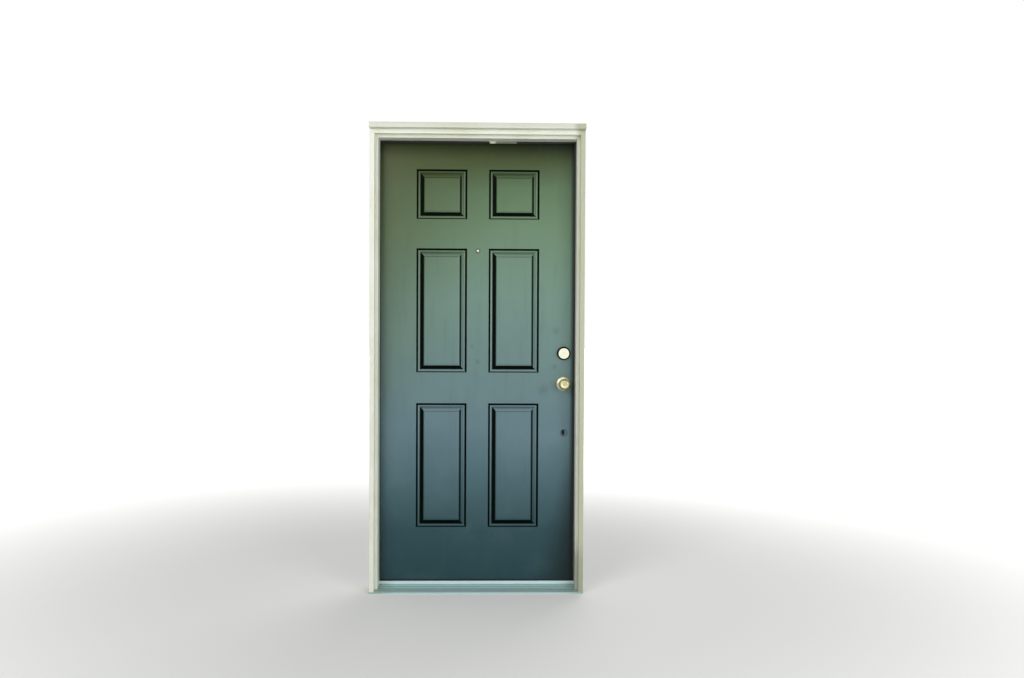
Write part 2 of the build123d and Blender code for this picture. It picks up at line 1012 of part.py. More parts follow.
def crank(centre, hub, throw, turn):
    """Hub, arm and pin, with the bolt drawn back."""
    x, z = crank_pin_place(throw, turn)
    reach = hypot(x, z)
    half = crank_pin + crank_arm_wall
    y1 = mid_y - tail_gap / 2
    y0 = y1 - crank_wall
    arm = block(-half, half, y0, y1, 0, reach) + rod_y(0, reach, half, y0, y1)
    arm += rod_y(0, reach, crank_pin, y1, mid_y + crank_wall + tail_gap)
    arm = Rot(0, degrees(atan2(x, z)), 0) * arm
    hub_reach = case_radius + tail_gap
    return rod_y(lock_x, centre, hub, mid_y - hub_reach, mid_y + hub_reach) + Pos(lock_x, 0, centre) * arm


def bolt_tail(centre, hub, rear_x, throw, turn):
    """Bar and slotted lug behind a bolt, driven by the crank pin."""
    x, z = crank_pin_place(throw, turn)
    slot_x = lock_x + x
    top = crank_radius(throw, turn) + crank_pin + tail_gap
    y0 = mid_y + tail_gap / 2
    y1 = y0 + crank_wall
    bar_low = centre + hub + tail_gap
    neck_x = lock_x + hub + tail_clearance
    bar = block(slot_x - lug_half, neck_x + tail_bar, y0, y1, bar_low, bar_low + tail_bar)
    bar += block(neck_x, rear_x + tail_root, y0, y1, centre - tail_neck, centre + tail_neck)
    lug_points = [
        (slot_x - lug_half, bar_low),
        (slot_x + lug_half, bar_low),
        (slot_x + lug_half, centre + top + lug_cap),
        (slot_x - lug_half, centre + top + lug_cap),
    ]
    lug = through(outline(lug_points, [0, 0, lug_corner, lug_corner]), y0, y1)
    half = crank_pin + crank_play
    slot_low = centre + z - crank_pin - tail_gap
    return bar + lug - block(slot_x - half, slot_x + half, y0 - overcut, y1 + overcut, slot_low, centre + top)


def latch_case():
    return lock_case(knob_z, latch_channel(fit_gap), spindle_hub)


def latch_bolt():
    tip = edge_x - bolt_set_back
    rear = tip - latch_length
    low = mid_y - latch_half_width
    points = [
        (rear, low),
        (tip - latch_throw, low),
        (tip, low + latch_bevel),
        (tip, mid_y + latch_half_width),
        (rear, mid_y + latch_half_width),
    ]
    section = outline(points, [0, 0, bolt_arris, 0, 0])
    head = upright(section, knob_z - latch_half_height, knob_z + latch_half_height)
    return head + bolt_tail(knob_z, spindle_hub, rear, latch_throw, latch_turn)


def deadbolt_case():
    return lock_case(deadbolt_z, deadbolt_channel(fit_gap), turn_hub)


def deadbolt_bolt():
    tip = edge_x - bolt_set_back
    rear = tip - deadbolt_length
    bolt = rod_x(mid_y, deadbolt_z, deadbolt_radius, rear, tip)
    bolt = chamfer(bolt.edges().group_by(Axis.X)[-1], bolt_arris)
    return bolt + bolt_tail(deadbolt_z, turn_hub, rear, deadbolt_throw, deadbolt_turn)


def knob_spindle():
    """Square bar through both knobs, with the hub and crank that draw the latch back."""
    half = spindle_size / 2
    front = face_y - spindle_reach
    back = back_y + spindle_reach
    bar = block(lock_x - half, lock_x + half, front, back, knob_z - half, knob_z + half)
    return bar + crank(knob_z, spindle_hub, latch_throw, latch_turn)


# Knobs, roses, collar, thumbturn


def knob_body():
    """The outer knob: a ball on a neck, its flat face dished, with a square socket for the spindle."""
    front = face_y - knob_projection
    middle = front + sqrt(knob_radius**2 - knob_face_radius**2)
    ball = Pos(lock_x, middle, knob_z) * Sphere(knob_radius)
    body = ball & block(0, frame_x, front, back_y, 0, head_z)
    body += rod_y(lock_x, knob_z, knob_neck, middle, face_y - knob_neck_gap)
    body -= rod_y(lock_x, knob_z, knob_dish_radius, front - overcut, front + knob_dish_depth)
    half = spindle_size / 2 + running_gap
    floor = face_y - spindle_reach - running_gap
    return body - block(lock_x - half, lock_x + half, floor, face_y, knob_z - half, knob_z + half)


def knob_outer():
    front = face_y - knob_projection
    depth = knob_plug_length + running_gap
    return knob_body() - rod_y(lock_x, knob_z, plug_radius + running_gap, front - overcut, front + depth)


def knob_inner():
    back = back_y + knob_projection
    depth = knob_plug_length + running_gap
    bore = rod_y(lock_x, knob_z, button_stem + running_gap, back - depth, back + overcut)
    return flip_y(knob_body()) - bore


def key_plug(centre, front, length):
    plug = rod_y(lock_x, centre, plug_radius, front, front + length)
    half = key_slot_width / 2
    rise = key_slot_height / 2
    slot_end = front + key_slot_depth
    return plug - block(lock_x - half, lock_x + half, front - overcut, slot_end, centre - rise, centre + rise)


def knob_plug():
    return key_plug(knob_z, face_y - knob_projection, knob_plug_length)


def turn_button():
    back = back_y + knob_projection
    stem = rod_y(lock_x, knob_z, button_stem, back - knob_plug_length, back + button_socket)
    half_x = button_width / 2
    half_z = button_length / 2
    points = [(-half_x, -half_z), (half_x, -half_z), (half_x, half_z), (-half_x, half_z)]
    places = [(lock_x + x, knob_z + z) for x, z in points]
    return stem + through(outline(places, button_corner), back + button_gap, back + button_height)


def rose(bore):
    """A sloped rose with an upright rim."""
    front = face_y - rose_height
    points = [
        (bore, face_y),
        (rose_radius, face_y),
        (rose_radius, face_y - rose_rim),
        (rose_radius - rose_slope, front),
        (bore, front),
    ]
    return turned(points, lock_x, knob_z)


def posts(centre, places):
    pair = []
    for x, z in places:
        post = rod_y(lock_x + x, centre + z, post_radius, face_y, face_y + post_length)
        bore = mount_screw_radius + screw_gap
        bore_end = face_y + post_length - mount_screw_bite - overcut
        pair.append(post - rod_y(lock_x + x, centre + z, bore, bore_end, back_y))
    return pair


def knob_post_places():
    return [(0, knob_post_offset), (0, -knob_post_offset)]


def deadbolt_post_places():
    return [(-deadbolt_post_offset, -deadbolt_post_offset), (deadbolt_post_offset, -deadbolt_post_offset)]


def knob_rose_outer():
    plate = rose(rose_bore)
    for post in posts(knob_z, knob_post_places()):
        plate += post
    return plate


def mounting_screw_places():
    places = []
    for x, z in knob_post_places():
        places.append(Pos(lock_x + x, back_y + rose_height, knob_z + z) * Rot(-90, 0, 0))
    for x, z in deadbolt_post_places():
        places.append(Pos(lock_x + x, back_y + turn_plate_height, deadbolt_z + z) * Rot(-90, 0, 0))
    return places


def mounting_screw_lengths():
    bite = back_y - face_y - post_length + mount_screw_bite
    return [bite + rose_height] * 2 + [bite + turn_plate_height] * 2


def knob_rose_inner():
    plate = flip_y(rose(rose_bore))
    for place, length in zip(mounting_screw_places()[:2], mounting_screw_lengths()[:2]):
        plate -= place * screw_hole(length, mount_screw_radius)
    return plate


def lock_mounting_screws():
    screws = []
    for place, length in zip(mounting_screw_places(), mounting_screw_lengths()):
        screws.append(place * flat_screw(length, mount_screw_radius))
    return screws


def deadbolt_collar():
    front = face_y - collar_height
    points = [
        (0, face_y),
        (collar_radius, face_y),
        (collar_radius, face_y - collar_rim),
        (collar_face_radius, front),
        (0, front),
    ]
    collar = turned(points, lock_x, deadbolt_z)
    collar += rod_y(lock_x, deadbolt_z, collar_boss, face_y, face_y + collar_boss_depth)
    for post in posts(deadbolt_z, deadbolt_post_places()):
        collar += post
    return collar - rod_y(lock_x, deadbolt_z, plug_radius + running_gap, front - overcut, back_y)


def deadbolt_plug():
    return key_plug(deadbolt_z, face_y - collar_height, collar_height + collar_boss_depth)


def thumbturn_plate():
    high = back_y + turn_plate_height
    points = [
        (turn_bore, back_y),
        (turn_plate_radius, back_y),
        (turn_plate_radius, back_y + turn_plate_rim),
        (turn_plate_radius - turn_plate_slope, high),
        (turn_bore, high),
    ]
    plate = turned(points, lock_x, deadbolt_z)
    for place, length in zip(mounting_screw_places()[2:], mounting_screw_lengths()[2:]):
        plate -= place * screw_hole(length, mount_screw_radius)
    return plate


def thumbturn():
    """Grip, hub and tail; the tail carries the crank that throws the deadbolt."""
    high = back_y + turn_plate_height
    hub = rod_y(lock_x, deadbolt_z, turn_bore - soft_gap, back_y - turn_hub_sink, high + turn_hub_lap)
    tail = rod_y(lock_x, deadbolt_z, turn_tail, face_y + collar_boss_depth + turn_tail_gap, back_y)
    half_x = turn_grip_width / 2
    half_z = turn_grip_length / 2
    end_x = half_x * turn_grip_end
    points = [
        (-half_x, 0),
        (-end_x, half_z),
        (end_x, half_z),
        (half_x, 0),
        (end_x, -half_z),
        (-end_x, -half_z),
    ]
    places = [(lock_x + x, deadbolt_z + z) for x, z in points]
    grip = through(outline(places, turn_grip_corner), high + turn_grip_gap, high + turn_grip_height)
    return hub + tail + grip + crank(deadbolt_z, turn_hub, deadbolt_throw, deadbolt_turn)


# Door viewer, on the door's centre line


def viewer_outer_barrel():
    front = face_y - viewer_flange_height
    end = core_back - viewer_lap
    points = [
        (viewer_bore, end),
        (viewer_tube, end),
        (viewer_tube, face_y),
        (viewer_flange, face_y),
        (viewer_flange - viewer_slope, front),
        (viewer_bore, front),
    ]
    barrel = turned(points, 0, viewer_z)
    seat = front + lens_thickness - lens_crown
    return barrel - rod_y(0, viewer_z, lens_radius + running_gap, front - overcut, seat)


def viewer_inner_barrel():
    high = back_y + viewer_flange_height
    tube = viewer_bore - running_gap
    bore = tube - viewer_inner_wall
    points = [
        (bore, mid_y),
        (tube, mid_y),
        (tube, back_y),
        (viewer_flange, back_y),
        (viewer_flange - viewer_slope, high),
        (bore, high),
    ]
    return turned(points, 0, viewer_z)


def viewer_lens():
    """A plano-convex eye glass, crowned outwards."""
    rim = face_y - viewer_flange_height
    crown = rim - lens_crown
    ball = (lens_radius**2 + lens_crown**2) / (2 * lens_crown)
    blank = rod_y(0, viewer_z, lens_radius, crown, crown + lens_thickness)
    return blank & Pos(0, crown + ball, viewer_z) * Sphere(ball)


def nodes():
    pieces = {
        "hinge_jamb": hinge_jamb(),
        "strike_jamb": strike_jamb(),
        "head_jamb": head_jamb(),
        "hinge_stop": hinge_stop(),
        "strike_stop": strike_stop(),
        "head_stop": head_stop(),
        "casing_left": casing_left(),
        "casing_right": casing_right(),
        "casing_head": casing_head(),
        "drip_cap": drip_cap(),
        "sill_deck": sill_deck(),
        "sill_substrate": sill_substrate(),
        "sill_cap": sill_cap(),
        "weatherstrip_hinge": weatherstrip_hinge(),
        "weatherstrip_strike": weatherstrip_strike(),
        "weatherstrip_head": weatherstrip_head(),
        "corner_pads": corner_pads(),
        "latch_strike": latch_strike(),
        "deadbolt_strike": deadbolt_strike(),
        "hinge_pins": hinge_pins(),
        "skin_outer": skin_outer(),
        "skin_inner": skin_inner(),
        "hinge_stile": hinge_stile(),
        "lock_stile": lock_stile(),
        "top_rail": rail(door_top_z - rail_height),
        "bottom_rail": rail(door_bottom_z),
        "lock_block": lock_block(),
        "foam_core": foam_core(),
        "door_sweep": door_sweep(),
        "viewer_outer_barrel": viewer_outer_barrel(),
        "viewer_inner_barrel": viewer_inner_barrel(),
        "viewer_lens": viewer_lens(),
        "knob_rose_outer": knob_rose_outer(),
        "knob_rose_inner": knob_rose_inner(),
        "latch_case": latch_case(),
        "lock_faceplates": lock_faceplates(),
        "deadbolt_collar": deadbolt_collar(),
        "deadbolt_case": deadbolt_case(),
        "thumbturn_plate": thumbturn_plate(),
        "lock_mounting_screws": lock_mounting_screws(),
        "knob_outer": knob_outer(),
        "knob_inner": knob_inner(),
        "knob_spindle": knob_spindle(),
        "knob_plug": knob_plug(),
        "turn_button": turn_button(),
        "latch_bolt": latch_bolt(),
        "deadbolt_plug": deadbolt_plug(),
        "thumbturn": thumbturn(),
        "deadbolt_bolt": deadbolt_bolt(),
    }
    jamb_leaf = hinge_leaf_solid(-1)
    door_leaf = hinge_leaf_solid(1)
    for number, z in enumerate(hinge_centres, start=1):
        pieces[f"hinge_jamb_leaf_{number}"] = Pos(pin_x, pin_y, z) * jamb_leaf
        pieces[f"hinge_door_leaf_{number}"] = Pos(pin_x, pin_y, z) * door_leaf
    return pieces


os.makedirs("parts", exist_ok=True)
for name, piece in nodes().items():
    solids = piece if isinstance(piece, list) else [piece]
    whole = Compound(children=[s for item in solids for s in item.solids()])
    export_step(whole, f"parts/{name}.step")
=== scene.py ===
import json
import math

import bmesh
import bpy
from mathutils import Matrix, Vector


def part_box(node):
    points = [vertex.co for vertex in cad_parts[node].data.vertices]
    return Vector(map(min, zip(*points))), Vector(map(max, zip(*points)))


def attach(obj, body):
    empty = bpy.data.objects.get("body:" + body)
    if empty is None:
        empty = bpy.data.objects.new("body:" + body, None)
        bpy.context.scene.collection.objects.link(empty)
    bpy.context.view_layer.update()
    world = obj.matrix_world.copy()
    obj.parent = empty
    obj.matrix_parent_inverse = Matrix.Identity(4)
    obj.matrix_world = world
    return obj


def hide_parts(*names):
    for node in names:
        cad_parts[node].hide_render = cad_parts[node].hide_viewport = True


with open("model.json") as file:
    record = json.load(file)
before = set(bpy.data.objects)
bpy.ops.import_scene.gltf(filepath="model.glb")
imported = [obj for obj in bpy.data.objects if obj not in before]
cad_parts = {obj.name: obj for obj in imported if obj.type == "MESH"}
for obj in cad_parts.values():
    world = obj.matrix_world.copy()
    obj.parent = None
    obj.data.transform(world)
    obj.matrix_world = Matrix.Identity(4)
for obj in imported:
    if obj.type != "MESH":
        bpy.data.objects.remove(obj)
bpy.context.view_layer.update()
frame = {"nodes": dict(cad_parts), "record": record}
nodes = frame["nodes"]
scene = bpy.context.scene
mm = 0.001
print("frame loaded:", len(nodes), "nodes")

# Camera: stands in front of the door, a little right of its middle, at breast height
cameraView = {
    "place": (0.0793, -3.8132, 1.2005),
    "turnRight": 1.146,  # degrees away from square on
    "tiltDown": 0.944,
    "roll": 0.275,
    "focalPixels": 850.0,
    "frameWidth": 1024,
    "sensor": 36.0,
    "farClip": 100.0,
}


def makeCamera(spec):
    turn = math.radians(spec["turnRight"])
    tilt = math.radians(-spec["tiltDown"])
    roll = math.radians(spec["roll"])
    ahead = Vector((math.sin(turn) * math.cos(tilt), math.cos(turn) * math.cos(tilt), math.sin(tilt)))
    level = Vector((math.cos(turn), -math.sin(turn), 0))
    above = level.cross(ahead)
    right = level * math.cos(roll) + above * math.sin(roll)
    up = above * math.cos(roll) - level * math.sin(roll)
    camera = bpy.data.objects.new("Camera", bpy.data.cameras.new("Camera"))
    scene.collection.objects.link(camera)
    axes = Matrix((right, up, -ahead)).transposed().to_4x4()
    camera.matrix_world = Matrix.Translation(spec["place"]) @ axes
    camera.data.sensor_width = spec["sensor"]
    camera.data.lens = spec["focalPixels"] / spec["frameWidth"] * spec["sensor"]
    camera.data.clip_end = spec["farClip"]
    scene.camera = camera


makeCamera(cameraView)

# Helpers for materials
noiseSpan = (0.3, 0.7)  # most of a noise's values lie between these


def toLinear(hexColor):
    channels = [int(hexColor[i : i + 2], 16) / 255 for i in (1, 3, 5)]
    return tuple(c / 12.92 if c <= 0.04045 else ((c + 0.055) / 1.055) ** 2.4 for c in channels) + (1.0,)


def addNode(tree, kind, inputs=None, **settings):
    # an input gets a value, or a link where it is given another node's output
    node = tree.nodes.new("ShaderNode" + kind)
    for key, value in settings.items():
        setattr(node, key, value)
    for key, value in (inputs or {}).items():
        if isinstance(value, bpy.types.NodeSocket):
            tree.links.new(value, node.inputs[key])
        else:
            node.inputs[key].default_value = value
    return node.outputs


def newMaterial(name, spec):
    material = bpy.data.materials.new(name)
    material.use_nodes = True
    tree = material.node_tree
    shader = tree.nodes["Principled BSDF"]
    shader.inputs["Base Color"].default_value = toLinear(spec["color"])
    shader.inputs["Roughness"].default_value = spec["roughness"]
    shader.inputs["Metallic"].default_value = spec.get("metallic", 0.0)
    if "ior" in spec:
        shader.inputs["IOR"].default_value = spec["ior"]
    return material, tree, shader


def paintOver(tree, shader, value, span, hexColor):
    # lays a colour over the base: none where value is span[0], as much as span[2] where it is span[1]
    inputs = {"Value": value, "From Min": span[0], "From Max": span[1], "To Max": span[2]}
    mask = addNode(tree, "MapRange", inputs, interpolation_type="SMOOTHSTEP")[0]
    base = shader.inputs["Base Color"]
    below = base.links[0].from_socket if base.is_linked else tuple(base.default_value)
    mixed = addNode(tree, "Mix", {0: mask, 6: below, 7: toLinear(hexColor)}, data_type="RGBA")[2]
    tree.links.new(mixed, base)


def paintBand(tree, shader, value, band, hexColor):
    # band: middle, half width and soft edge in mm, and cover
    middle, half, soft, cover = band
    away = addNode(tree, "Math", {0: value, 1: middle * mm}, operation="SUBTRACT")[0]
    away = addNode(tree, "Math", {0: away}, operation="ABSOLUTE")[0]
    paintOver(tree, shader, away, ((half + soft) * mm, half * mm, cover), hexColor)


def varySheen(tree, shader, value, roughness, sheen):
    # adds sheen[0] to the roughness where the noise is low, and sheen[1] where it is high
    inputs = {"Value": value, "From Min": noiseSpan[0], "From Max": noiseSpan[1]}
    inputs.update({"To Min": roughness + sheen[0], "To Max": roughness + sheen[1]})
    tree.links.new(addNode(tree, "MapRange", inputs)[0], shader.inputs["Roughness"])


def drawStreaks(tree, place, widths):
    # a noise drawn out to these widths in mm along the axes
    stretched = addNode(tree, "Mapping", {"Vector": place, "Scale": [1 / (w * mm) for w in widths]})[0]
    noise = {"Vector": stretched, "Scale": 1.0, "Detail": 4.0, "Roughness": 0.6}
    return addNode(tree, "TexNoise", noise)[0]


# Door paint, outside: alkyd enamel sprayed on embossed steel. Satin sheen with a fine orange peel. Its colour
# by
# height is painted shade and reflection: dark olive under the head, bright grey green in the middle and dull
# blue near the floor; painted shade with some black grime lies in the mouldings' quirks and valleys.
doorPaint = {
    "color": "#5f7667",
    "shadeAndReflectionTones": (  # painted shade and reflection by height: share of the height, and colour
        (0.0, "#1f4046"),
        (0.12, "#2b4a51"),
        (0.24, "#4a6870"),
        (0.35, "#627d86"),
        (0.47, "#698485"),
        (0.64, "#708e82"),
        (0.79, "#69866a"),
        (0.88, "#5a7556"),
        (0.94, "#3d4b25"),
        (0.985, "#1a2006"),
    ),
    "toneHeight": 2.06,  # m
    "toneWander": 0.03,  # share of the height, up and down
    "chalk": "#7d9389",
    "chalkWidth": 260.0,
    "chalkSpan": (0.45, 0.7, 0.08),
    "dull": "#44564c",
    "dullSpan": (0.5, 0.3, 0.1),
    "runWidths": (30.0, 30.0, 260.0),  # faint runs left by washing
    "roughness": 0.32,
    "sheen": (-0.04, 0.06),
    "ior": 1.45,
    "shine": (0.35, 0.04),  # specular level of clean paint, and of the grime and painted shade in the grooves and the painted shade under the head, which are matt
    "peelWidth": 7.0,  # mm; the real 1.5 mm is too fine to show, so it is drawn coarser
    "peelDepth": 0.035,
    "panelMiddleX": 164.5,
    "panelHalfWidth": 114.5,
    "panelRows": (  # from, middle, half
        (0.0, 557.75, 283.75),
        (912.0, 1265.0, 282.5),
        (1614.0, 1793.75, 112.75),
    ),
    "sameEdge": 0.0001,  # m: an edge no further off than this counts as the nearest too
    "grimeAndShade": "#020903",
    "grimeAndShadeIndoors": 0.3,
    # painted shade with some grime in the quirks, in from each edge of a panel: middle, half width, soft
    # edge; cover; widest and darkest on the left and bottom
    "left": ((3.6, 3.6, 1.2, 0.96), (25.0, 5.5, 8.0, 0.97)),
    "right": ((4.2, 4.2, 1.0, 0.98), (29.0, 2.5, 4.5, 0.9)),
    "top": ((4.2, 4.0, 1.0, 0.98), (20.0, 3.0, 6.0, 0.4), (37.0, 0.8, 2.5, 0.45)),
    "bottom": ((2.6, 1.6, 1.6, 0.75), (23.0, 6.5, 5.0, 0.97)),
    "smudgeAndShade": "#3a4943",
    "smudgesAndShades": (  # x, z, size: smudges, and the last two are painted shade round the deadbolt and the knob
        (-26, 1100, 14),
        (1, 1032, 20),
        (358, 1173, 26),
        (300, 905, 40),
        (352, 1010, 18),
        (405, 706, 5),
        (396, 1074, 34),
        (402, 930, 36),
    ),
    "smudgeAndShadeReach": (1.5, 0.5, 0.25),  # outer and inner, in sizes; cover
    "blotchWidth": 14.0,
    "dent": (396, 707),  # x, z: a dent beside the puncture, dark at its edge
    "dentBand": (14.5, 1.5, 3.0, 0.4),
    "scar": (393, 709),  # x, z: bare dark metal round the puncture
    "scarReach": (16.0, 10.5, 1.0),  # outer and inner; cover
    "scarNarrow": 1.7,  # times as tall as wide
    "shade": "#0a1409",
    "strikeEdge": (0.418, 0.441, 0.93),  # m across the door, and cover
    "hingeEdge": (-0.40, -0.45, 0.35),
    "headShade": (1.94, 2.04, 0.62),  # m up, and cover: dark and dull under the head
    "foot": "#0b2125",
    "footSlope": -0.28,  # painted dark reflection at the foot, darker towards the strike
    "footSpan": (0.22, 0.40, 0.95),
    "olive": "#3d4718",
    "oliveSlope": -0.5,  # painted shade and reflection at the head, olive and more of it towards the hinges
    "oliveSpan": (-0.6, -1.38, 0.7),
}


def fromPanelEdges(tree, xyz, spec):
    # how far in a point is from each edge of its panel
    side = addNode(tree, "Math", {0: xyz["X"]}, operation="SIGN")[0]
    inputs = {0: side, 1: -spec["panelMiddleX"] * mm, 2: xyz["X"]}
    x = addNode(tree, "Math", inputs, operation="MULTIPLY_ADD")[0]
    middle, half = 0.0, 0.0
    was = (0.0, 0.0, 0.0)
    for row in spec["panelRows"]:
        above = addNode(tree, "Math", {0: xyz["Z"], 1: row[0] * mm}, operation="GREATER_THAN")[0]
        inputs = {0: above, 1: (row[1] - was[1]) * mm, 2: middle}
        middle = addNode(tree, "Math", inputs, operation="MULTIPLY_ADD")[0]
        inputs = {0: above, 1: (row[2] - was[2]) * mm, 2: half}
        half = addNode(tree, "Math", inputs, operation="MULTIPLY_ADD")[0]
        was = row
    z = addNode(tree, "Math", {0: xyz["Z"], 1: middle}, operation="SUBTRACT")[0]
    wide = spec["panelHalfWidth"] * mm
    return {
        "left": addNode(tree, "Math", {0: x, 1: wide}, operation="ADD")[0],
        "right": addNode(tree, "Math", {0: wide, 1: x}, operation="SUBTRACT")[0],
        "bottom": addNode(tree, "Math", {0: z, 1: half}, operation="ADD")[0],
        "top": addNode(tree, "Math", {0: half, 1: z}, operation="SUBTRACT")[0],
    }


def grimeAndShadeMask(tree, xyz, spec):
    # painted shade with some grime in the quirks and valleys; each edge's bands lie only where that edge is
    # the nearest, so they meet in mitres
    edges = fromPanelEdges(tree, xyz, spec)
    nearest = 1.0
    for edge in edges.values():
        nearest = addNode(tree, "Math", {0: edge, 1: nearest}, operation="MINIMUM")[0]
    grimeAndShade = 0.0
    for key, edge in edges.items():
        own = addNode(tree, "Math", {0: edge, 1: nearest, 2: spec["sameEdge"]}, operation="COMPARE")[0]
        for middle, half, soft, cover in spec[key]:
            away = addNode(tree, "Math", {0: edge, 1: middle * mm}, operation="SUBTRACT")[0]
            away = addNode(tree, "Math", {0: away}, operation="ABSOLUTE")[0]
            inputs = {"Value": away, "From Min": (half + soft) * mm, "From Max": half * mm, "To Max": cover}
            band = addNode(tree, "MapRange", inputs, interpolation_type="SMOOTHSTEP")[0]
            band = addNode(tree, "Math", {0: band, 1: own}, operation="MULTIPLY")[0]
            grimeAndShade = addNode(tree, "Math", {0: band, 1: grimeAndShade}, operation="MAXIMUM")[0]
    return grimeAndShade


def layShadeAndReflection(tree, shader, xyz, chalk, spec):
    # painted shade and reflection as the base colour by height, dark at the foot and head, bright in the
    # middle, wandering a little
    height = addNode(tree, "Math", {0: xyz["Z"], 1: 1 / spec["toneHeight"]}, operation="MULTIPLY")[0]
    wander = {0: chalk, 1: spec["toneWander"] * 2, 2: height}
    height = addNode(tree, "Math", wander, operation="MULTIPLY_ADD")[0]
    height = addNode(tree, "Math", {0: height, 1: spec["toneWander"]}, operation="SUBTRACT")[0]
    toned = addNode(tree, "ValToRGB", {0: height})[0]
    stops = toned.node.color_ramp.elements
    for position, _ in spec["shadeAndReflectionTones"][1:-1]:
        stops.new(position)
    for stop, (position, hexColor) in zip(stops, spec["shadeAndReflectionTones"]):
        stop.position = position
        stop.color = toLinear(hexColor)
    tree.links.new(toned, shader.inputs["Base Color"])


def layMarks(tree, shader, place, xyz, blotch, spec):
    # the painted dark reflection at the foot, the painted shade and reflection at the head, the smudges and
    # the painted shade round the lock, the dent and scar at the puncture, and the shaded edges
    for key in ("foot", "olive"):
        inputs = {0: xyz["Z"], 1: spec[key + "Slope"], 2: xyz["X"]}
        aslant = addNode(tree, "Math", inputs, operation="MULTIPLY_ADD")[0]
        paintOver(tree, shader, aslant, spec[key + "Span"], spec[key])
    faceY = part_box("skin_outer")[0].y
    outer, inner, cover = spec["smudgeAndShadeReach"]
    # smudges, and painted shade round the deadbolt and the knob
    for x, z, size in spec["smudgesAndShades"]:
        spot = {0: place, 1: (x * mm, faceY, z * mm)}
        away = addNode(tree, "VectorMath", spot, operation="DISTANCE")["Value"]
        away = addNode(tree, "Math", {0: blotch, 1: size * mm, 2: away}, operation="MULTIPLY_ADD")[0]
        paintOver(tree, shader, away, (size * outer * mm, size * inner * mm, cover), spec["smudgeAndShade"])
    x, z = spec["dent"]
    spot = {0: place, 1: (x * mm, faceY, z * mm)}
    away = addNode(tree, "VectorMath", spot, operation="DISTANCE")["Value"]
    paintBand(tree, shader, away, spec["dentBand"], spec["grimeAndShade"])
    x, z = spec["scar"]
    narrow = spec["scarNarrow"]
    squeezed = addNode(tree, "VectorMath", {0: place, 1: (narrow, 1.0, 1.0)}, operation="MULTIPLY")["Vector"]
    spot = {0: squeezed, 1: (x * narrow * mm, faceY, z * mm)}
    away = addNode(tree, "VectorMath", spot, operation="DISTANCE")["Value"]
    outer, inner, cover = spec["scarReach"]
    paintOver(tree, shader, away, (outer * mm, inner * mm, cover), spec["grimeAndShade"])
    for key in ("strikeEdge", "hingeEdge"):
        paintOver(tree, shader, xyz["X"], spec[key], spec["shade"])


def makeDoorPaint(name, spec, weathered):
    material, tree, shader = newMaterial(name, spec)
    place = addNode(tree, "TexCoord")["Object"]
    xyz = addNode(tree, "SeparateXYZ", {0: place})
    large = {"Vector": place, "Scale": 1 / (spec["chalkWidth"] * mm), "Detail": 6.0, "Roughness": 0.6}
    small = {"Vector": place, "Scale": 1 / (spec["blotchWidth"] * mm), "Detail": 3.0, "Roughness": 0.6}
    fine = {"Vector": place, "Scale": 1 / (spec["peelWidth"] * mm), "Detail": 2.0}
    chalk = addNode(tree, "TexNoise", large)[0]
    # outside, the base colour is painted shade and reflection by height, with faint runs over it
    if weathered:
        layShadeAndReflection(tree, shader, xyz, chalk, spec)
        runs = drawStreaks(tree, place, spec["runWidths"])
        paintOver(tree, shader, runs, spec["dullSpan"], spec["dull"])
    paintOver(tree, shader, chalk, spec["chalkSpan"], spec["chalk"])
    if weathered:
        blotch = addNode(tree, "TexNoise", small)[0]
        layMarks(tree, shader, place, xyz, blotch, spec)
    # painted shade with some grime in the panels' quirks and valleys, darker on the left and bottom sides,
    # and matt there
    grimeAndShade = grimeAndShadeMask(tree, xyz, spec)
    paintOver(tree, shader, grimeAndShade, (0.0, 1.0, 1.0 if weathered else spec["grimeAndShadeIndoors"]), spec["grimeAndShade"])
    if weathered:
        paintOver(tree, shader, xyz["Z"], spec["headShade"], spec["shade"])
        low, high = spec["headShade"][:2]
        inputs = {"Value": xyz["Z"], "From Min": low, "From Max": high}
        inputs = {0: grimeAndShade, 1: addNode(tree, "MapRange", inputs)[0]}
        grimeAndShade = addNode(tree, "Math", inputs, operation="MAXIMUM")[0]
    clean, matt = spec["shine"]
    shine = addNode(tree, "MapRange", {"Value": grimeAndShade, "To Min": clean, "To Max": matt})[0]
    tree.links.new(shine, shader.inputs["Specular IOR Level"])
    varySheen(tree, shader, chalk, spec["roughness"], spec["sheen"])
    peel = addNode(tree, "TexNoise", fine)[0]
    bump = {"Height": peel, "Strength": 1.0, "Distance": spec["peelDepth"] * mm}
    tree.links.new(addNode(tree, "Bump", bump)[0], shader.inputs["Normal"])
    return material


# Frame paint: gloss enamel brushed on pine. Cream white, with long faint brush marks, a yellow tone where it
# has aged, splashed dirt at the feet, and painted shade on the strike side and the drip cap.
framePaint = {
    "color": "#e9ecdf",
    "roughness": 0.36,
    "ior": 1.5,
    "brush": (9.0, 9.0, 600.0),  # mm across, through and along a stroke; coarser than real, so that it shows
    "brushDepth": 0.02,
    "aged": "#d3d2b4",
    "agedWidth": 260.0,
    "agedSpan": (0.45, 0.75, 0.6),
    "yellow": "#a9ae8c",
    "yellowSlope": -0.5,  # less yellow further in
    "yellowSpan": (0.446, 0.476, 0.8),  # m across: painted shade, yellower and darker on the strike side outside
    "capShade": "#b4b4a2",
    "capShadeSpan": (2.055, 2.08, 0.4),  # m up: painted shade, the drip cap darker
    "dirt": "#838a7d",
    "dirtSpan": (0.09, -0.04, 0.5),
    "speckWidth": 9.0,
    "splashWander": -0.1,  # m
    "splashSlope": -0.25,  # more dirt towards the strike
}


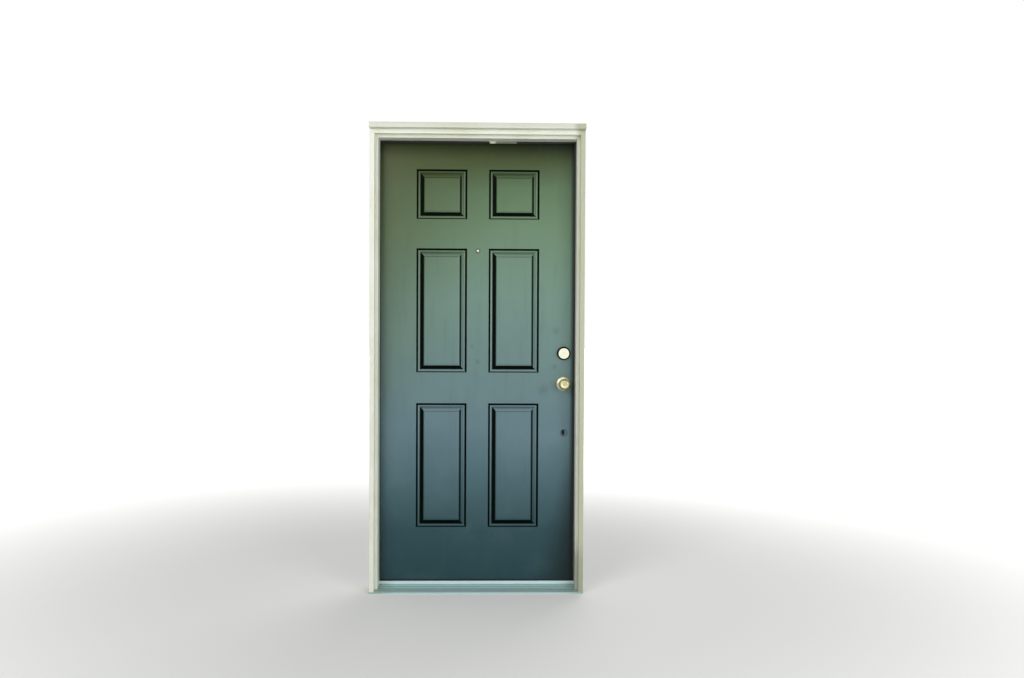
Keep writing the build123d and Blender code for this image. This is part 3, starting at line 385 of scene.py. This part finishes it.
def makeFramePaint(name, spec, level):
    material, tree, shader = newMaterial(name, spec)
    place = addNode(tree, "TexCoord")["Object"]
    xyz = addNode(tree, "SeparateXYZ", {0: place})
    across, through, along = spec["brush"]
    widths = (along, through, across) if level else (across, through, along)
    strokes = drawStreaks(tree, place, widths)
    large = {"Vector": place, "Scale": 1 / (spec["agedWidth"] * mm), "Detail": 5.0, "Roughness": 0.65}
    small = {"Vector": place, "Scale": 1 / (spec["speckWidth"] * mm), "Detail": 5.0, "Roughness": 0.7}
    patches = addNode(tree, "TexNoise", large)[0]
    specks = addNode(tree, "TexNoise", small)[0]
    paintOver(tree, shader, patches, spec["agedSpan"], spec["aged"])
    # painted shade: yellower and darker towards the strike side's outer face
    inputs = {0: xyz["Y"], 1: spec["yellowSlope"], 2: xyz["X"]}
    outside = addNode(tree, "Math", inputs, operation="MULTIPLY_ADD")[0]
    paintOver(tree, shader, outside, spec["yellowSpan"], spec["yellow"])
    # painted shade on the drip cap
    paintOver(tree, shader, xyz["Z"], spec["capShadeSpan"], spec["capShade"])
    splash = xyz["Z"]
    for value, factor in ((specks, spec["splashWander"]), (xyz["X"], spec["splashSlope"])):
        splash = addNode(tree, "Math", {0: value, 1: factor, 2: splash}, operation="MULTIPLY_ADD")[0]
    paintOver(tree, shader, splash, spec["dirtSpan"], spec["dirt"])
    bump = {"Height": strokes, "Strength": 1.0, "Distance": spec["brushDepth"] * mm}
    tree.links.new(addNode(tree, "Bump", bump)[0], shader.inputs["Normal"])
    return material


# Sill deck: extruded aluminium, mill finish. The tread is grey green and dull with darker lines along it, and
# the upright riser behind it stays bright.
sillMetal = {
    "color": "#d2e6e9",
    "roughness": 0.42,
    "metallic": 0.3,
    "lines": (280.0, 1.4, 1.4),
    "lineDepth": 0.03,
    "tread": "#b6d7d4",
    "treadSpan": (0.0172, 0.0157, 0.9),  # below the riser's foot, in m
    "treadWander": 1.0,  # mm
    "groove": "#5f7c7c",
    "grooves": (52.0, 30.0, 9.0, -8.0),  # y of the tread's darker lines
    "grooveWidth": (1.2, 2.0, 0.6),  # half width, soft edge; cover
    "soil": "#6c7b66",
    "soilSpan": (0.42, 0.58, 0.5),  # towards the ends, in m
    "soilWander": 0.15,  # m
    "speckWidth": 16.0,
    "riserFoot": 0.0165,
}


def makeSillMetal(spec):
    material, tree, shader = newMaterial("mill finish aluminium, weathered", spec)
    place = addNode(tree, "TexCoord")["Object"]
    xyz = addNode(tree, "SeparateXYZ", {0: place})
    lines = drawStreaks(tree, place, spec["lines"])
    inputs = {0: lines, 1: spec["treadWander"] * mm, 2: xyz["Z"]}
    height = addNode(tree, "Math", inputs, operation="MULTIPLY_ADD")[0]
    paintOver(tree, shader, height, spec["treadSpan"], spec["tread"])
    for y in spec["grooves"]:
        paintBand(tree, shader, xyz["Y"], (y, *spec["grooveWidth"]), spec["groove"])
    small = {"Vector": place, "Scale": 1 / (spec["speckWidth"] * mm), "Detail": 5.0, "Roughness": 0.7}
    specks = addNode(tree, "TexNoise", small)[0]
    outward = addNode(tree, "Math", {0: xyz["X"]}, operation="ABSOLUTE")[0]
    inputs = {0: specks, 1: spec["soilWander"], 2: outward}
    outward = addNode(tree, "Math", inputs, operation="MULTIPLY_ADD")[0]
    # the riser is taken as a metre nearer the middle, so no soil lies on it
    riser = addNode(tree, "Math", {0: xyz["Z"], 1: spec["riserFoot"]}, operation="GREATER_THAN")[0]
    outward = addNode(tree, "Math", {0: outward, 1: riser}, operation="SUBTRACT")[0]
    paintOver(tree, shader, outward, spec["soilSpan"], spec["soil"])
    bump = {"Height": lines, "Strength": 1.0, "Distance": spec["lineDepth"] * mm}
    tree.links.new(addNode(tree, "Bump", bump)[0], shader.inputs["Normal"])
    return material


# Seal: extruded thermoplastic rubber, black and dull. Frame paint was once smeared over the head's strip.
sealRubber = {
    "color": "#101112",
    "roughness": 0.65,
    "ior": 1.5,
    "smear": "#8f8e83",
    "smearBand": (114.0, 60.0, 4.0, 0.7),  # along the head: middle, half length, soft edge; cover
    "smearLow": 2.022,  # m up: the upright strips have none
    "chip": "#dad9cc",
    "chipBand": (65.0, 12.0, 2.0, 1.0),
    "raggedWidth": 12.0,
    "ragged": (0.02, -0.01),  # m: how far the ends of the smear wander, and their shift back
}


def makeSealRubber(spec):
    material, tree, shader = newMaterial("extruded rubber", spec)
    place = addNode(tree, "TexCoord")["Object"]
    xyz = addNode(tree, "SeparateXYZ", {0: place})
    rough = {"Vector": place, "Scale": 1 / (spec["raggedWidth"] * mm), "Detail": 4.0, "Roughness": 0.6}
    rough = addNode(tree, "TexNoise", rough)[0]
    reach, shift = spec["ragged"]
    wander = addNode(tree, "Math", {0: rough, 1: reach, 2: shift}, operation="MULTIPLY_ADD")[0]
    along = addNode(tree, "Math", {0: xyz["X"], 1: wander}, operation="ADD")[0]
    below = addNode(tree, "Math", {0: xyz["Z"], 1: spec["smearLow"]}, operation="LESS_THAN")[0]
    along = addNode(tree, "Math", {0: along, 1: below}, operation="ADD")[0]
    paintBand(tree, shader, along, spec["smearBand"], spec["smear"])
    paintBand(tree, shader, along, spec["chipBand"], spec["chip"])
    return material


# All the metals wear alike: how far the brown goes, and how far the roughness goes down and up
metalWear = {"span": (0.45, 0.75, 0.6), "sheen": (-0.04, 0.12)}
# Lock brass: turned, polished and lacquered. Pale gold with a bright mirror, browner where hands miss it.
lockBrass = {"color": "#f0e9bb", "brown": "#b3a25e", "roughness": 0.2, "metallic": 1.0, "wearWidth": 9.0}
# Deadbolt collar: the same brass, painted almost white on the face as a painted reflection of a bright
# surround
collarBrass = {"color": "#f3f3dc", "brown": "#cdc8a2", "roughness": 0.3, "metallic": 1.0, "wearWidth": 9.0}
# Hinges and strikes: steel, brass plated. Yellow and a little duller.
platedSteel = {"color": "#c6ab69", "brown": "#7a6438", "roughness": 0.3, "metallic": 1.0, "wearWidth": 14.0}
# Viewer: turned brass, dark with age
viewerBrass = {"color": "#6e6342", "brown": "#2c2718", "roughness": 0.35, "metallic": 1.0, "wearWidth": 4.0}
# Cases, spindle and cap screws: steel, zinc plated. Blue grey and even.
zincSteel = {"color": "#aab0b2", "brown": "#7d8284", "roughness": 0.38, "metallic": 1.0, "wearWidth": 12.0}
# Collar's rim: painted almost black beyond the bright face as a painted dark reflection, and made dull so
# that it no longer mirrors
rimDarkReflection = {
    "color": "#12140a",
    "span": (23.4, 24.4, 1.0),  # mm from the axis; cover
    "metallic": 0.1,
    "roughness": 0.7,
    "specular": 0.1,
}


def makeMetal(name, spec):
    material, tree, shader = newMaterial(name, spec)
    place = addNode(tree, "TexCoord")["Object"]
    wear = {"Vector": place, "Scale": 1 / (spec["wearWidth"] * mm), "Detail": 5.0, "Roughness": 0.6}
    wear = addNode(tree, "TexNoise", wear)[0]
    paintOver(tree, shader, wear, metalWear["span"], spec["brown"])
    varySheen(tree, shader, wear, spec["roughness"], metalWear["sheen"])
    return material


def makeRimmedMetal(name, spec, rim):
    material = makeMetal(name, spec)
    tree = material.node_tree
    shader = tree.nodes["Principled BSDF"]
    place = addNode(tree, "TexCoord")["Object"]
    low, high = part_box("deadbolt_collar")
    across = {0: place, 1: (1.0, 0.0, 1.0), 2: (-(low.x + high.x) / 2, 0.0, -(low.z + high.z) / 2)}
    across = addNode(tree, "VectorMath", across, operation="MULTIPLY_ADD")["Vector"]
    radius = addNode(tree, "VectorMath", {0: across}, operation="LENGTH")["Value"]
    # painted dark reflection on the rim, which is also made dull and less metallic
    near, far, cover = rim["span"]
    paintOver(tree, shader, radius, (near * mm, far * mm, cover), rim["color"])
    for socket, key in (("Metallic", "metallic"), ("Roughness", "roughness")):
        inputs = {"Value": radius, "From Min": near * mm, "From Max": far * mm}
        inputs.update({"To Min": spec[key], "To Max": rim[key]})
        tree.links.new(addNode(tree, "MapRange", inputs)[0], shader.inputs[socket])
    shader.inputs["Specular IOR Level"].default_value = rim["specular"]
    return material


# The grained ones are alike too: how far the darker grain goes, and its depth in mm
grainRelief = {"span": (0.35, 0.7, 1.0), "depth": 0.05}
# Stiles and rails: planed poplar, unpainted. Pale brown with a fine straight grain.
plainWood = {"color": "#bb9a6c", "grain": "#94713f", "roughness": 0.7, "ior": 1.5, "lines": (3, 3, 150)}
# Core: cut polyurethane foam. Cream and matt, with open cells.
coreFoam = {"color": "#dccb98", "grain": "#b8a36a", "roughness": 0.9, "ior": 1.5, "lines": (2, 2, 2)}
# Cap and sweep: extruded PVC, near black. Even, with faint lines along it.
darkVinyl = {"color": "#25292b", "grain": "#15181a", "roughness": 0.5, "ior": 1.53, "lines": (300, 2, 2)}
# Sill base: moulded wood and plastic. Brown, matt, with short fibres.
woodComposite = {"color": "#7a6a52", "grain": "#57492f", "roughness": 0.8, "ior": 1.5, "lines": (12, 2, 2)}


def makeGrained(name, spec):
    material, tree, shader = newMaterial(name, spec)
    place = addNode(tree, "TexCoord")["Object"]
    grain = drawStreaks(tree, place, spec["lines"])
    paintOver(tree, shader, grain, grainRelief["span"], spec["grain"])
    bump = {"Height": grain, "Strength": 1.0, "Distance": grainRelief["depth"] * mm}
    tree.links.new(addNode(tree, "Bump", bump)[0], shader.inputs["Normal"])
    return material


# The foam round the puncture through the skin is painted black: painted shade inside the hole
puncture = {"place": (391, 74, 712), "reach": (16.0, 10.0, 1.0), "color": "#06090b"}


def makeFoam(spec, hole):
    material = makeGrained("cut polyurethane foam", spec)
    tree = material.node_tree
    shader = tree.nodes["Principled BSDF"]
    # painted shade: the foam black round the hole
    away = {0: addNode(tree, "TexCoord")["Object"], 1: tuple(v * mm for v in hole["place"])}
    away = addNode(tree, "VectorMath", away, operation="DISTANCE")["Value"]
    far, near, cover = hole["reach"]
    paintOver(tree, shader, away, (far * mm, near * mm, cover), hole["color"])
    return material


# Viewer lens: ground and polished glass, clear with a hard highlight
lensGlass = {"color": "#f4fbf8", "roughness": 0.03, "ior": 1.52, "transmission": 0.5}


def makeGlass(spec):
    material, _, shader = newMaterial("polished glass", spec)
    shader.inputs["Transmission Weight"].default_value = spec["transmission"]
    return material


lockMetal = makeMetal("turned brass, polished", lockBrass)
collarMetal = makeMetal("turned brass, painted pale reflection", collarBrass)
rimmedMetal = makeRimmedMetal("turned brass, painted dark rim", collarBrass, rimDarkReflection)
platedMetal = makeMetal("brass plated steel", platedSteel)
viewerMetal = makeMetal("turned brass, aged", viewerBrass)
zincMetal = makeMetal("zinc plated steel", zincSteel)
levelPaint = makeFramePaint("enamel brushed on pine, level", framePaint, True)
weatheredShadedPaint = makeDoorPaint("satin enamel on steel, weathered, painted shade", doorPaint, True)
materials = {
    "door_paint": makeDoorPaint("satin enamel on steel, indoors", doorPaint, False),
    "frame_paint": makeFramePaint("enamel brushed on pine, upright", framePaint, False),
    "seal": makeSealRubber(sealRubber),
    "mill_aluminium": makeSillMetal(sillMetal),
    "brass": lockMetal,
    "bare_wood": makeGrained("planed poplar", plainWood),
    "zinc_steel": zincMetal,
    "foam": makeFoam(coreFoam, puncture),
    "sill_vinyl": makeGrained("extruded PVC", darkVinyl),
    "sill_composite": makeGrained("moulded wood composite", woodComposite),
    "lens_glass": makeGlass(lensGlass),
}
print("materials made")


def dress(name, material):
    mesh = nodes[name].data
    mesh.materials.clear()
    mesh.materials.append(material)


for entry in frame["record"]["subparts"]:
    dress(entry["node"], materials[entry["material_slot"]])
dress("skin_outer", weatheredShadedPaint)
for name in ("head_jamb", "head_stop", "casing_head", "drip_cap"):
    dress(name, levelPaint)
plated = ["hinge_pins", "latch_strike", "deadbolt_strike"]
plated += [f"hinge_{side}_leaf_{number}" for side in ("jamb", "door") for number in (1, 2, 3)]
for name in plated:
    dress(name, platedMetal)
dress("deadbolt_collar", rimmedMetal)
dress("deadbolt_plug", collarMetal)
for name in ("viewer_outer_barrel", "viewer_inner_barrel"):
    dress(name, viewerMetal)
print("frame nodes dressed")


# Turned pieces. A profile is a list of (radius, distance out from the door's face) in mm.
def rounded(points, radius, steps=5):
    smooth = [Vector(points[0])]
    for before, corner, after in zip(points, points[1:], points[2:]):
        before, corner, after = Vector(before), Vector(corner), Vector(after)
        reach = min(radius, (before - corner).length / 2, (after - corner).length / 2)
        start = corner + (before - corner).normalized() * reach
        end = corner + (after - corner).normalized() * reach
        for step in range(steps + 1):
            t = step / steps
            smooth.append(start * (1 - t) ** 2 + corner * 2 * t * (1 - t) + end * t**2)
    return smooth + [Vector(points[-1])]


def arc(middle, radius, start, end, steps=14):
    # angles in degrees from the axis
    angles = [math.radians(start + (end - start) * step / steps) for step in range(steps + 1)]
    return [(radius * math.sin(a), middle + radius * math.cos(a)) for a in angles]


def turnProfile(name, profile, centre, outward, material, segments=96):
    mesh = bmesh.new()
    rings = []
    for radius, out in profile:
        ring = []
        for step in range(segments):
            angle = 2 * math.pi * step / segments
            offset = Vector((radius * math.cos(angle), out * outward, radius * math.sin(angle))) * mm
            ring.append(mesh.verts.new(offset))
        rings.append(ring)
    for near, far in zip(rings, rings[1:]):
        for step in range(segments):
            after = (step + 1) % segments
            mesh.faces.new((near[step], near[after], far[after], far[step]))
    bmesh.ops.recalc_face_normals(mesh, faces=mesh.faces)
    data = bpy.data.meshes.new(name)
    mesh.to_mesh(data)
    mesh.free()
    data.polygons.foreach_set("use_smooth", [True] * len(data.polygons))
    data.materials.append(material)
    piece = bpy.data.objects.new(name, data)
    scene.collection.objects.link(piece)
    piece.location = centre
    return piece


def onFace(node, outward):
    # the middle of a lock piece, on the door's outer or inner face
    low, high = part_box(node)
    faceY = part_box("skin_outer")[0].y if outward < 0 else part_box("skin_inner")[1].y
    return Vector(((low.x + high.x) / 2, faceY, (low.z + high.z) / 2))


# Knobs: a ball on a short neck, with a flat dished face round the key plug or the button
knob = {
    "ball": 25.0,
    "out": 60.5,
    "face": 17.0,
    "dish": 13.2,
    "dishDepth": 1.2,
    "boreDepth": 4.0,
    "keyBore": 6.6,
    "buttonBore": 4.1,
    "neck": 12.4,
    "neckEnd": 2.0,
    "shoulder": 2.0,  # from the ball to the straight part of the neck
    "straight": 4.0,
    "arris": 0.5,
    "fillet": 2.0,
    "faceGap": 1.5,  # degrees of the ball that give way to the rounding at its face, and at its neck
    "neckGap": 3.0,
}


def makeKnob(name, spec, bore, outward, node):
    ball, out, face, neck, foot = (spec[key] for key in ("ball", "out", "face", "neck", "neckEnd"))
    middle = out - math.sqrt(ball**2 - face**2)
    rim = math.degrees(math.asin(face / ball))
    back = 180 - math.degrees(math.asin(neck / ball))
    floor = out - spec["dishDepth"]
    ballArc = arc(middle, ball, rim + spec["faceGap"], back - spec["neckGap"])
    front = [(bore, floor - spec["boreDepth"]), (bore, floor), (spec["dish"], floor), (spec["dish"], out)]
    front += [(face, out), ballArc[0]]
    shank = [ballArc[-1], (neck, ballArc[-1][1] - spec["shoulder"])]
    shank += [(neck, foot + spec["straight"]), (neck, foot)]
    profile = rounded(front, spec["arris"]) + ballArc[1:] + rounded(shank, spec["fillet"])[1:]
    piece = turnProfile(name, profile, onFace(node, outward), outward, lockMetal)
    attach(piece, "knobs")
    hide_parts(node)


makeKnob("KnobOutside", knob, knob["keyBore"], -1, "knob_outer")
makeKnob("KnobInside", knob, knob["buttonBore"], 1, "knob_inner")

# Roses: the soft polished skin over the plain cones
rose = {
    "profile": ((13.0, 9.05), (21.5, 9.05), (27.5, 7.0), (31.4, 3.6), (32.05, 2.4), (32.05, 0.05)),
    "fillet": 2.0,
}


def makeRose(name, spec, node, outward):
    profile = rounded(spec["profile"], spec["fillet"])
    piece = turnProfile(name, profile, onFace(node, outward), outward, lockMetal)
    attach(piece, "door")


makeRose("RoseOutside", rose, "knob_outer", -1)
makeRose("RoseInside", rose, "knob_inner", 1)
print("turned pieces made")

# Screws with crossed recesses: strikes, faceplates, hinges and the sill's cap
screwHead = {
    "radius": 4.15,
    "halfSides": 18,  # half the number of sides of the round
    "depth": 2.3,
    "shank": 2.0,
    "arm": 2.2,
    "slot": 0.55,
    "recess": 1.5,
    "taper": 0.5,
}


def makeScrewMesh(spec):
    mesh = bmesh.new()
    arm, slot, half = spec["arm"], spec["slot"], spec["halfSides"]
    cross = [(slot, slot), (slot, arm), (-slot, arm), (-slot, slot), (-arm, slot), (-arm, -slot)]
    cross += [(-x, -y) for x, y in cross]
    angles = [math.pi * step / half for step in range(2 * half)]
    circle = [(math.cos(angle), math.sin(angle)) for angle in angles]

    def loop(points, scale, z):
        verts = [mesh.verts.new((x * scale * mm, y * scale * mm, z * mm)) for x, y in points]
        return verts, [mesh.edges.new(pair) for pair in zip(verts, verts[1:] + verts[:1])]

    def wall(upper, lower):
        for corners in zip(upper, upper[1:] + upper[:1], lower[1:] + lower[:1], lower):
            mesh.faces.new(corners)
        mesh.faces.new(lower)

    rim, rimEdges = loop(circle, spec["radius"], 0)
    opening, openingEdges = loop(cross, 1, 0)
    pit = loop(cross, spec["taper"], -spec["recess"])[0]
    foot = loop(circle, spec["shank"], -spec["depth"])[0]
    bmesh.ops.triangle_fill(mesh, edges=rimEdges + openingEdges, use_beauty=True)
    wall(opening, pit)
    wall(rim, foot)
    bmesh.ops.recalc_face_normals(mesh, faces=mesh.faces)
    data = bpy.data.meshes.new("CrossScrew")
    mesh.to_mesh(data)
    mesh.free()
    return data


screwMesh = makeScrewMesh(screwHead)
screwMesh.materials.append(platedMetal)
capScrewMesh = screwMesh.copy()
capScrewMesh.materials[0] = zincMetal


def setScrew(name, mesh, place, facing, body, turn):
    screw = bpy.data.objects.new(name, mesh)
    scene.collection.objects.link(screw)
    aim = Vector(facing).to_track_quat("Z", "Y").to_matrix() @ Matrix.Rotation(math.radians(turn), 3, "Z")
    screw.matrix_world = Matrix.Translation(place) @ aim.to_4x4()
    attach(screw, body)


# Where the screws stand, in mm from the middle of the plate that they hold, and how far each is turned
screwPlaces = {
    "latchStrike": 20.6,
    "deadboltStrike": 26.0,
    "faceplate": 20.5,
    "hinge": ((-40, -16), (-15, -30), (15, -30), (40, -16)),  # up, and away from the pin
    "capInset": 64.0,
    "capCount": 4,
    "capAcross": 0.42,  # share of the cap's width
    "proud": 0.05,
    "strikeTurn": 40,
    "plateTurn": 65,
    "pairTurn": 20,
    "hingeTurn": 9,
    "leafTurn": 23,
    "doorTurn": 40,
    "capTurn": 37,
}


def setScrews(spec):
    proud = spec["proud"] * mm
    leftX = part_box("hinge_jamb")[1].x + proud
    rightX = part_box("strike_jamb")[0].x - proud
    slabLow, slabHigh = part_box("skin_outer")
    midY = (slabLow.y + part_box("skin_inner")[1].y) / 2
    for lock, plug in (("latch", "knob_plug"), ("deadbolt", "deadbolt_plug")):
        lockZ = onFace(plug, -1).z
        for side, sign in (("Low", -1), ("High", 1)):
            place = Vector((rightX, midY, lockZ + sign * spec[lock + "Strike"] * mm))
            turn = spec["strikeTurn"] + sign * spec["pairTurn"]
            setScrew(f"StrikeScrew.{lock}{side}", screwMesh, place, (-1, 0, 0), "frame", turn)
            place = Vector((slabHigh.x + proud, midY, lockZ + sign * spec["faceplate"] * mm))
            turn = spec["plateTurn"] + sign * spec["pairTurn"]
            setScrew(f"PlateScrew.{lock}{side}", screwMesh, place, (1, 0, 0), "door", turn)
    pinLow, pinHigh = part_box("hinge_pins")
    pinY = (pinLow.y + pinHigh.y) / 2
    for hinge in (1, 2, 3):
        low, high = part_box(f"hinge_door_leaf_{hinge}")
        for index, (up, away) in enumerate(spec["hinge"]):
            place = Vector((leftX, pinY + away * mm, (low.z + high.z) / 2 + up * mm))
            turn = spec["leafTurn"] * index + spec["hingeTurn"] * hinge
            setScrew(f"HingeScrewJamb.{hinge}{index}", screwMesh, place, (1, 0, 0), "frame", turn)
            place.x = slabLow.x - proud
            turn += spec["doorTurn"]
            setScrew(f"HingeScrewDoor.{hinge}{index}", screwMesh, place, (-1, 0, 0), "door", turn)
    low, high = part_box("sill_cap")
    inset = spec["capInset"] * mm
    step = (high.x - low.x - 2 * inset) / (spec["capCount"] - 1)
    y = low.y + (high.y - low.y) * spec["capAcross"]
    for index in range(spec["capCount"]):
        place = Vector((low.x + inset + step * index, y, high.z + proud))
        setScrew(f"CapScrew.{index}", capScrewMesh, place, (0, 0, 1), "frame", spec["capTurn"] * index)


setScrews(screwPlaces)
print("screws set")

# Floor and light: a pale floor in a white surround, and three soft lights: one high in front on the left,
# one lower in front on the right, and a large one behind
studio = {
    "floor": "#e4e4e2",
    "floorRoughness": 0.9,
    "floorSize": 80.0,
    "floorZ": -0.0005,  # m: just under the sill, so that their faces don't meet
    "nearGlow": 0.1,  # only for what the camera sees, so the shadow stays
    "farGlow": 1.0,
    "glowSpan": (1.0, 5.0),  # m from the door
    "fill": 0.32,  # the surround's light on matt faces; the camera, mirrors and glass see it white
    "Key": {"place": (-2.2, -3.8, 3.0), "aim": (0, 0, 1.1), "size": (2.2, 2.2), "power": 80.0},
    "Front": {"place": (2.8, -4.0, 1.5), "aim": (0, 0, 1.2), "size": (2.6, 2.4), "power": 95.0},
    "Back": {"place": (1.5, 3.8, 2.6), "aim": (0, 0, 1.0), "size": (3.4, 2.6), "power": 70.0},
}


def makeLamp(name, spec):
    data = bpy.data.lights.new(name, "AREA")
    data.shape = "RECTANGLE"
    data.size, data.size_y = spec["size"]
    data.energy = spec["power"]
    lamp = bpy.data.objects.new(name, data)
    scene.collection.objects.link(lamp)
    lamp.location = spec["place"]
    aim = Vector(spec["aim"]) - Vector(spec["place"])
    lamp.rotation_euler = aim.to_track_quat("-Z", "Y").to_euler()


def makeFloor(spec):
    bpy.ops.mesh.primitive_plane_add(size=spec["floorSize"], location=(0, 0, spec["floorZ"]))
    floor = bpy.context.object
    floor.name = "Floor"
    look = {"color": spec["floor"], "roughness": spec["floorRoughness"]}
    material, tree, shader = newMaterial("pale studio floor", look)
    shader.inputs["Emission Color"].default_value = (1, 1, 1, 1)
    away = addNode(tree, "VectorMath", {0: addNode(tree, "TexCoord")["Object"]}, operation="LENGTH")["Value"]
    near, far = spec["glowSpan"]
    inputs = {"Value": away, "From Min": near, "From Max": far}
    inputs.update({"To Min": spec["nearGlow"], "To Max": spec["farGlow"]})
    glow = addNode(tree, "MapRange", inputs, interpolation_type="SMOOTHSTEP")[0]
    seen = addNode(tree, "LightPath")["Is Camera Ray"]
    glow = addNode(tree, "Math", {0: seen, 1: glow}, operation="MULTIPLY")[0]
    tree.links.new(glow, shader.inputs["Emission Strength"])
    floor.data.materials.append(material)


def makeSurround(spec):
    world = bpy.data.worlds.new("Studio")
    scene.world = world
    world.use_nodes = True
    tree = world.node_tree
    tree.nodes.clear()
    rays = addNode(tree, "LightPath")
    seen = addNode(tree, "Math", {0: rays["Is Camera Ray"], 1: rays["Is Glossy Ray"]}, operation="MAXIMUM")[0]
    seen = addNode(tree, "Math", {0: seen, 1: rays["Is Transmission Ray"]}, operation="MAXIMUM")[0]
    level = addNode(tree, "MapRange", {"Value": seen, "To Min": spec["fill"], "To Max": 1.0})[0]
    sky = addNode(tree, "Background", {"Color": (1, 1, 1, 1), "Strength": level})[0]
    addNode(tree, "OutputWorld", {"Surface": sky})


makeFloor(studio)
makeSurround(studio)
for name in ("Key", "Front", "Back"):
    makeLamp(name + "Softbox", studio[name])
scene.view_settings.view_transform = "Standard"
print("studio ready")
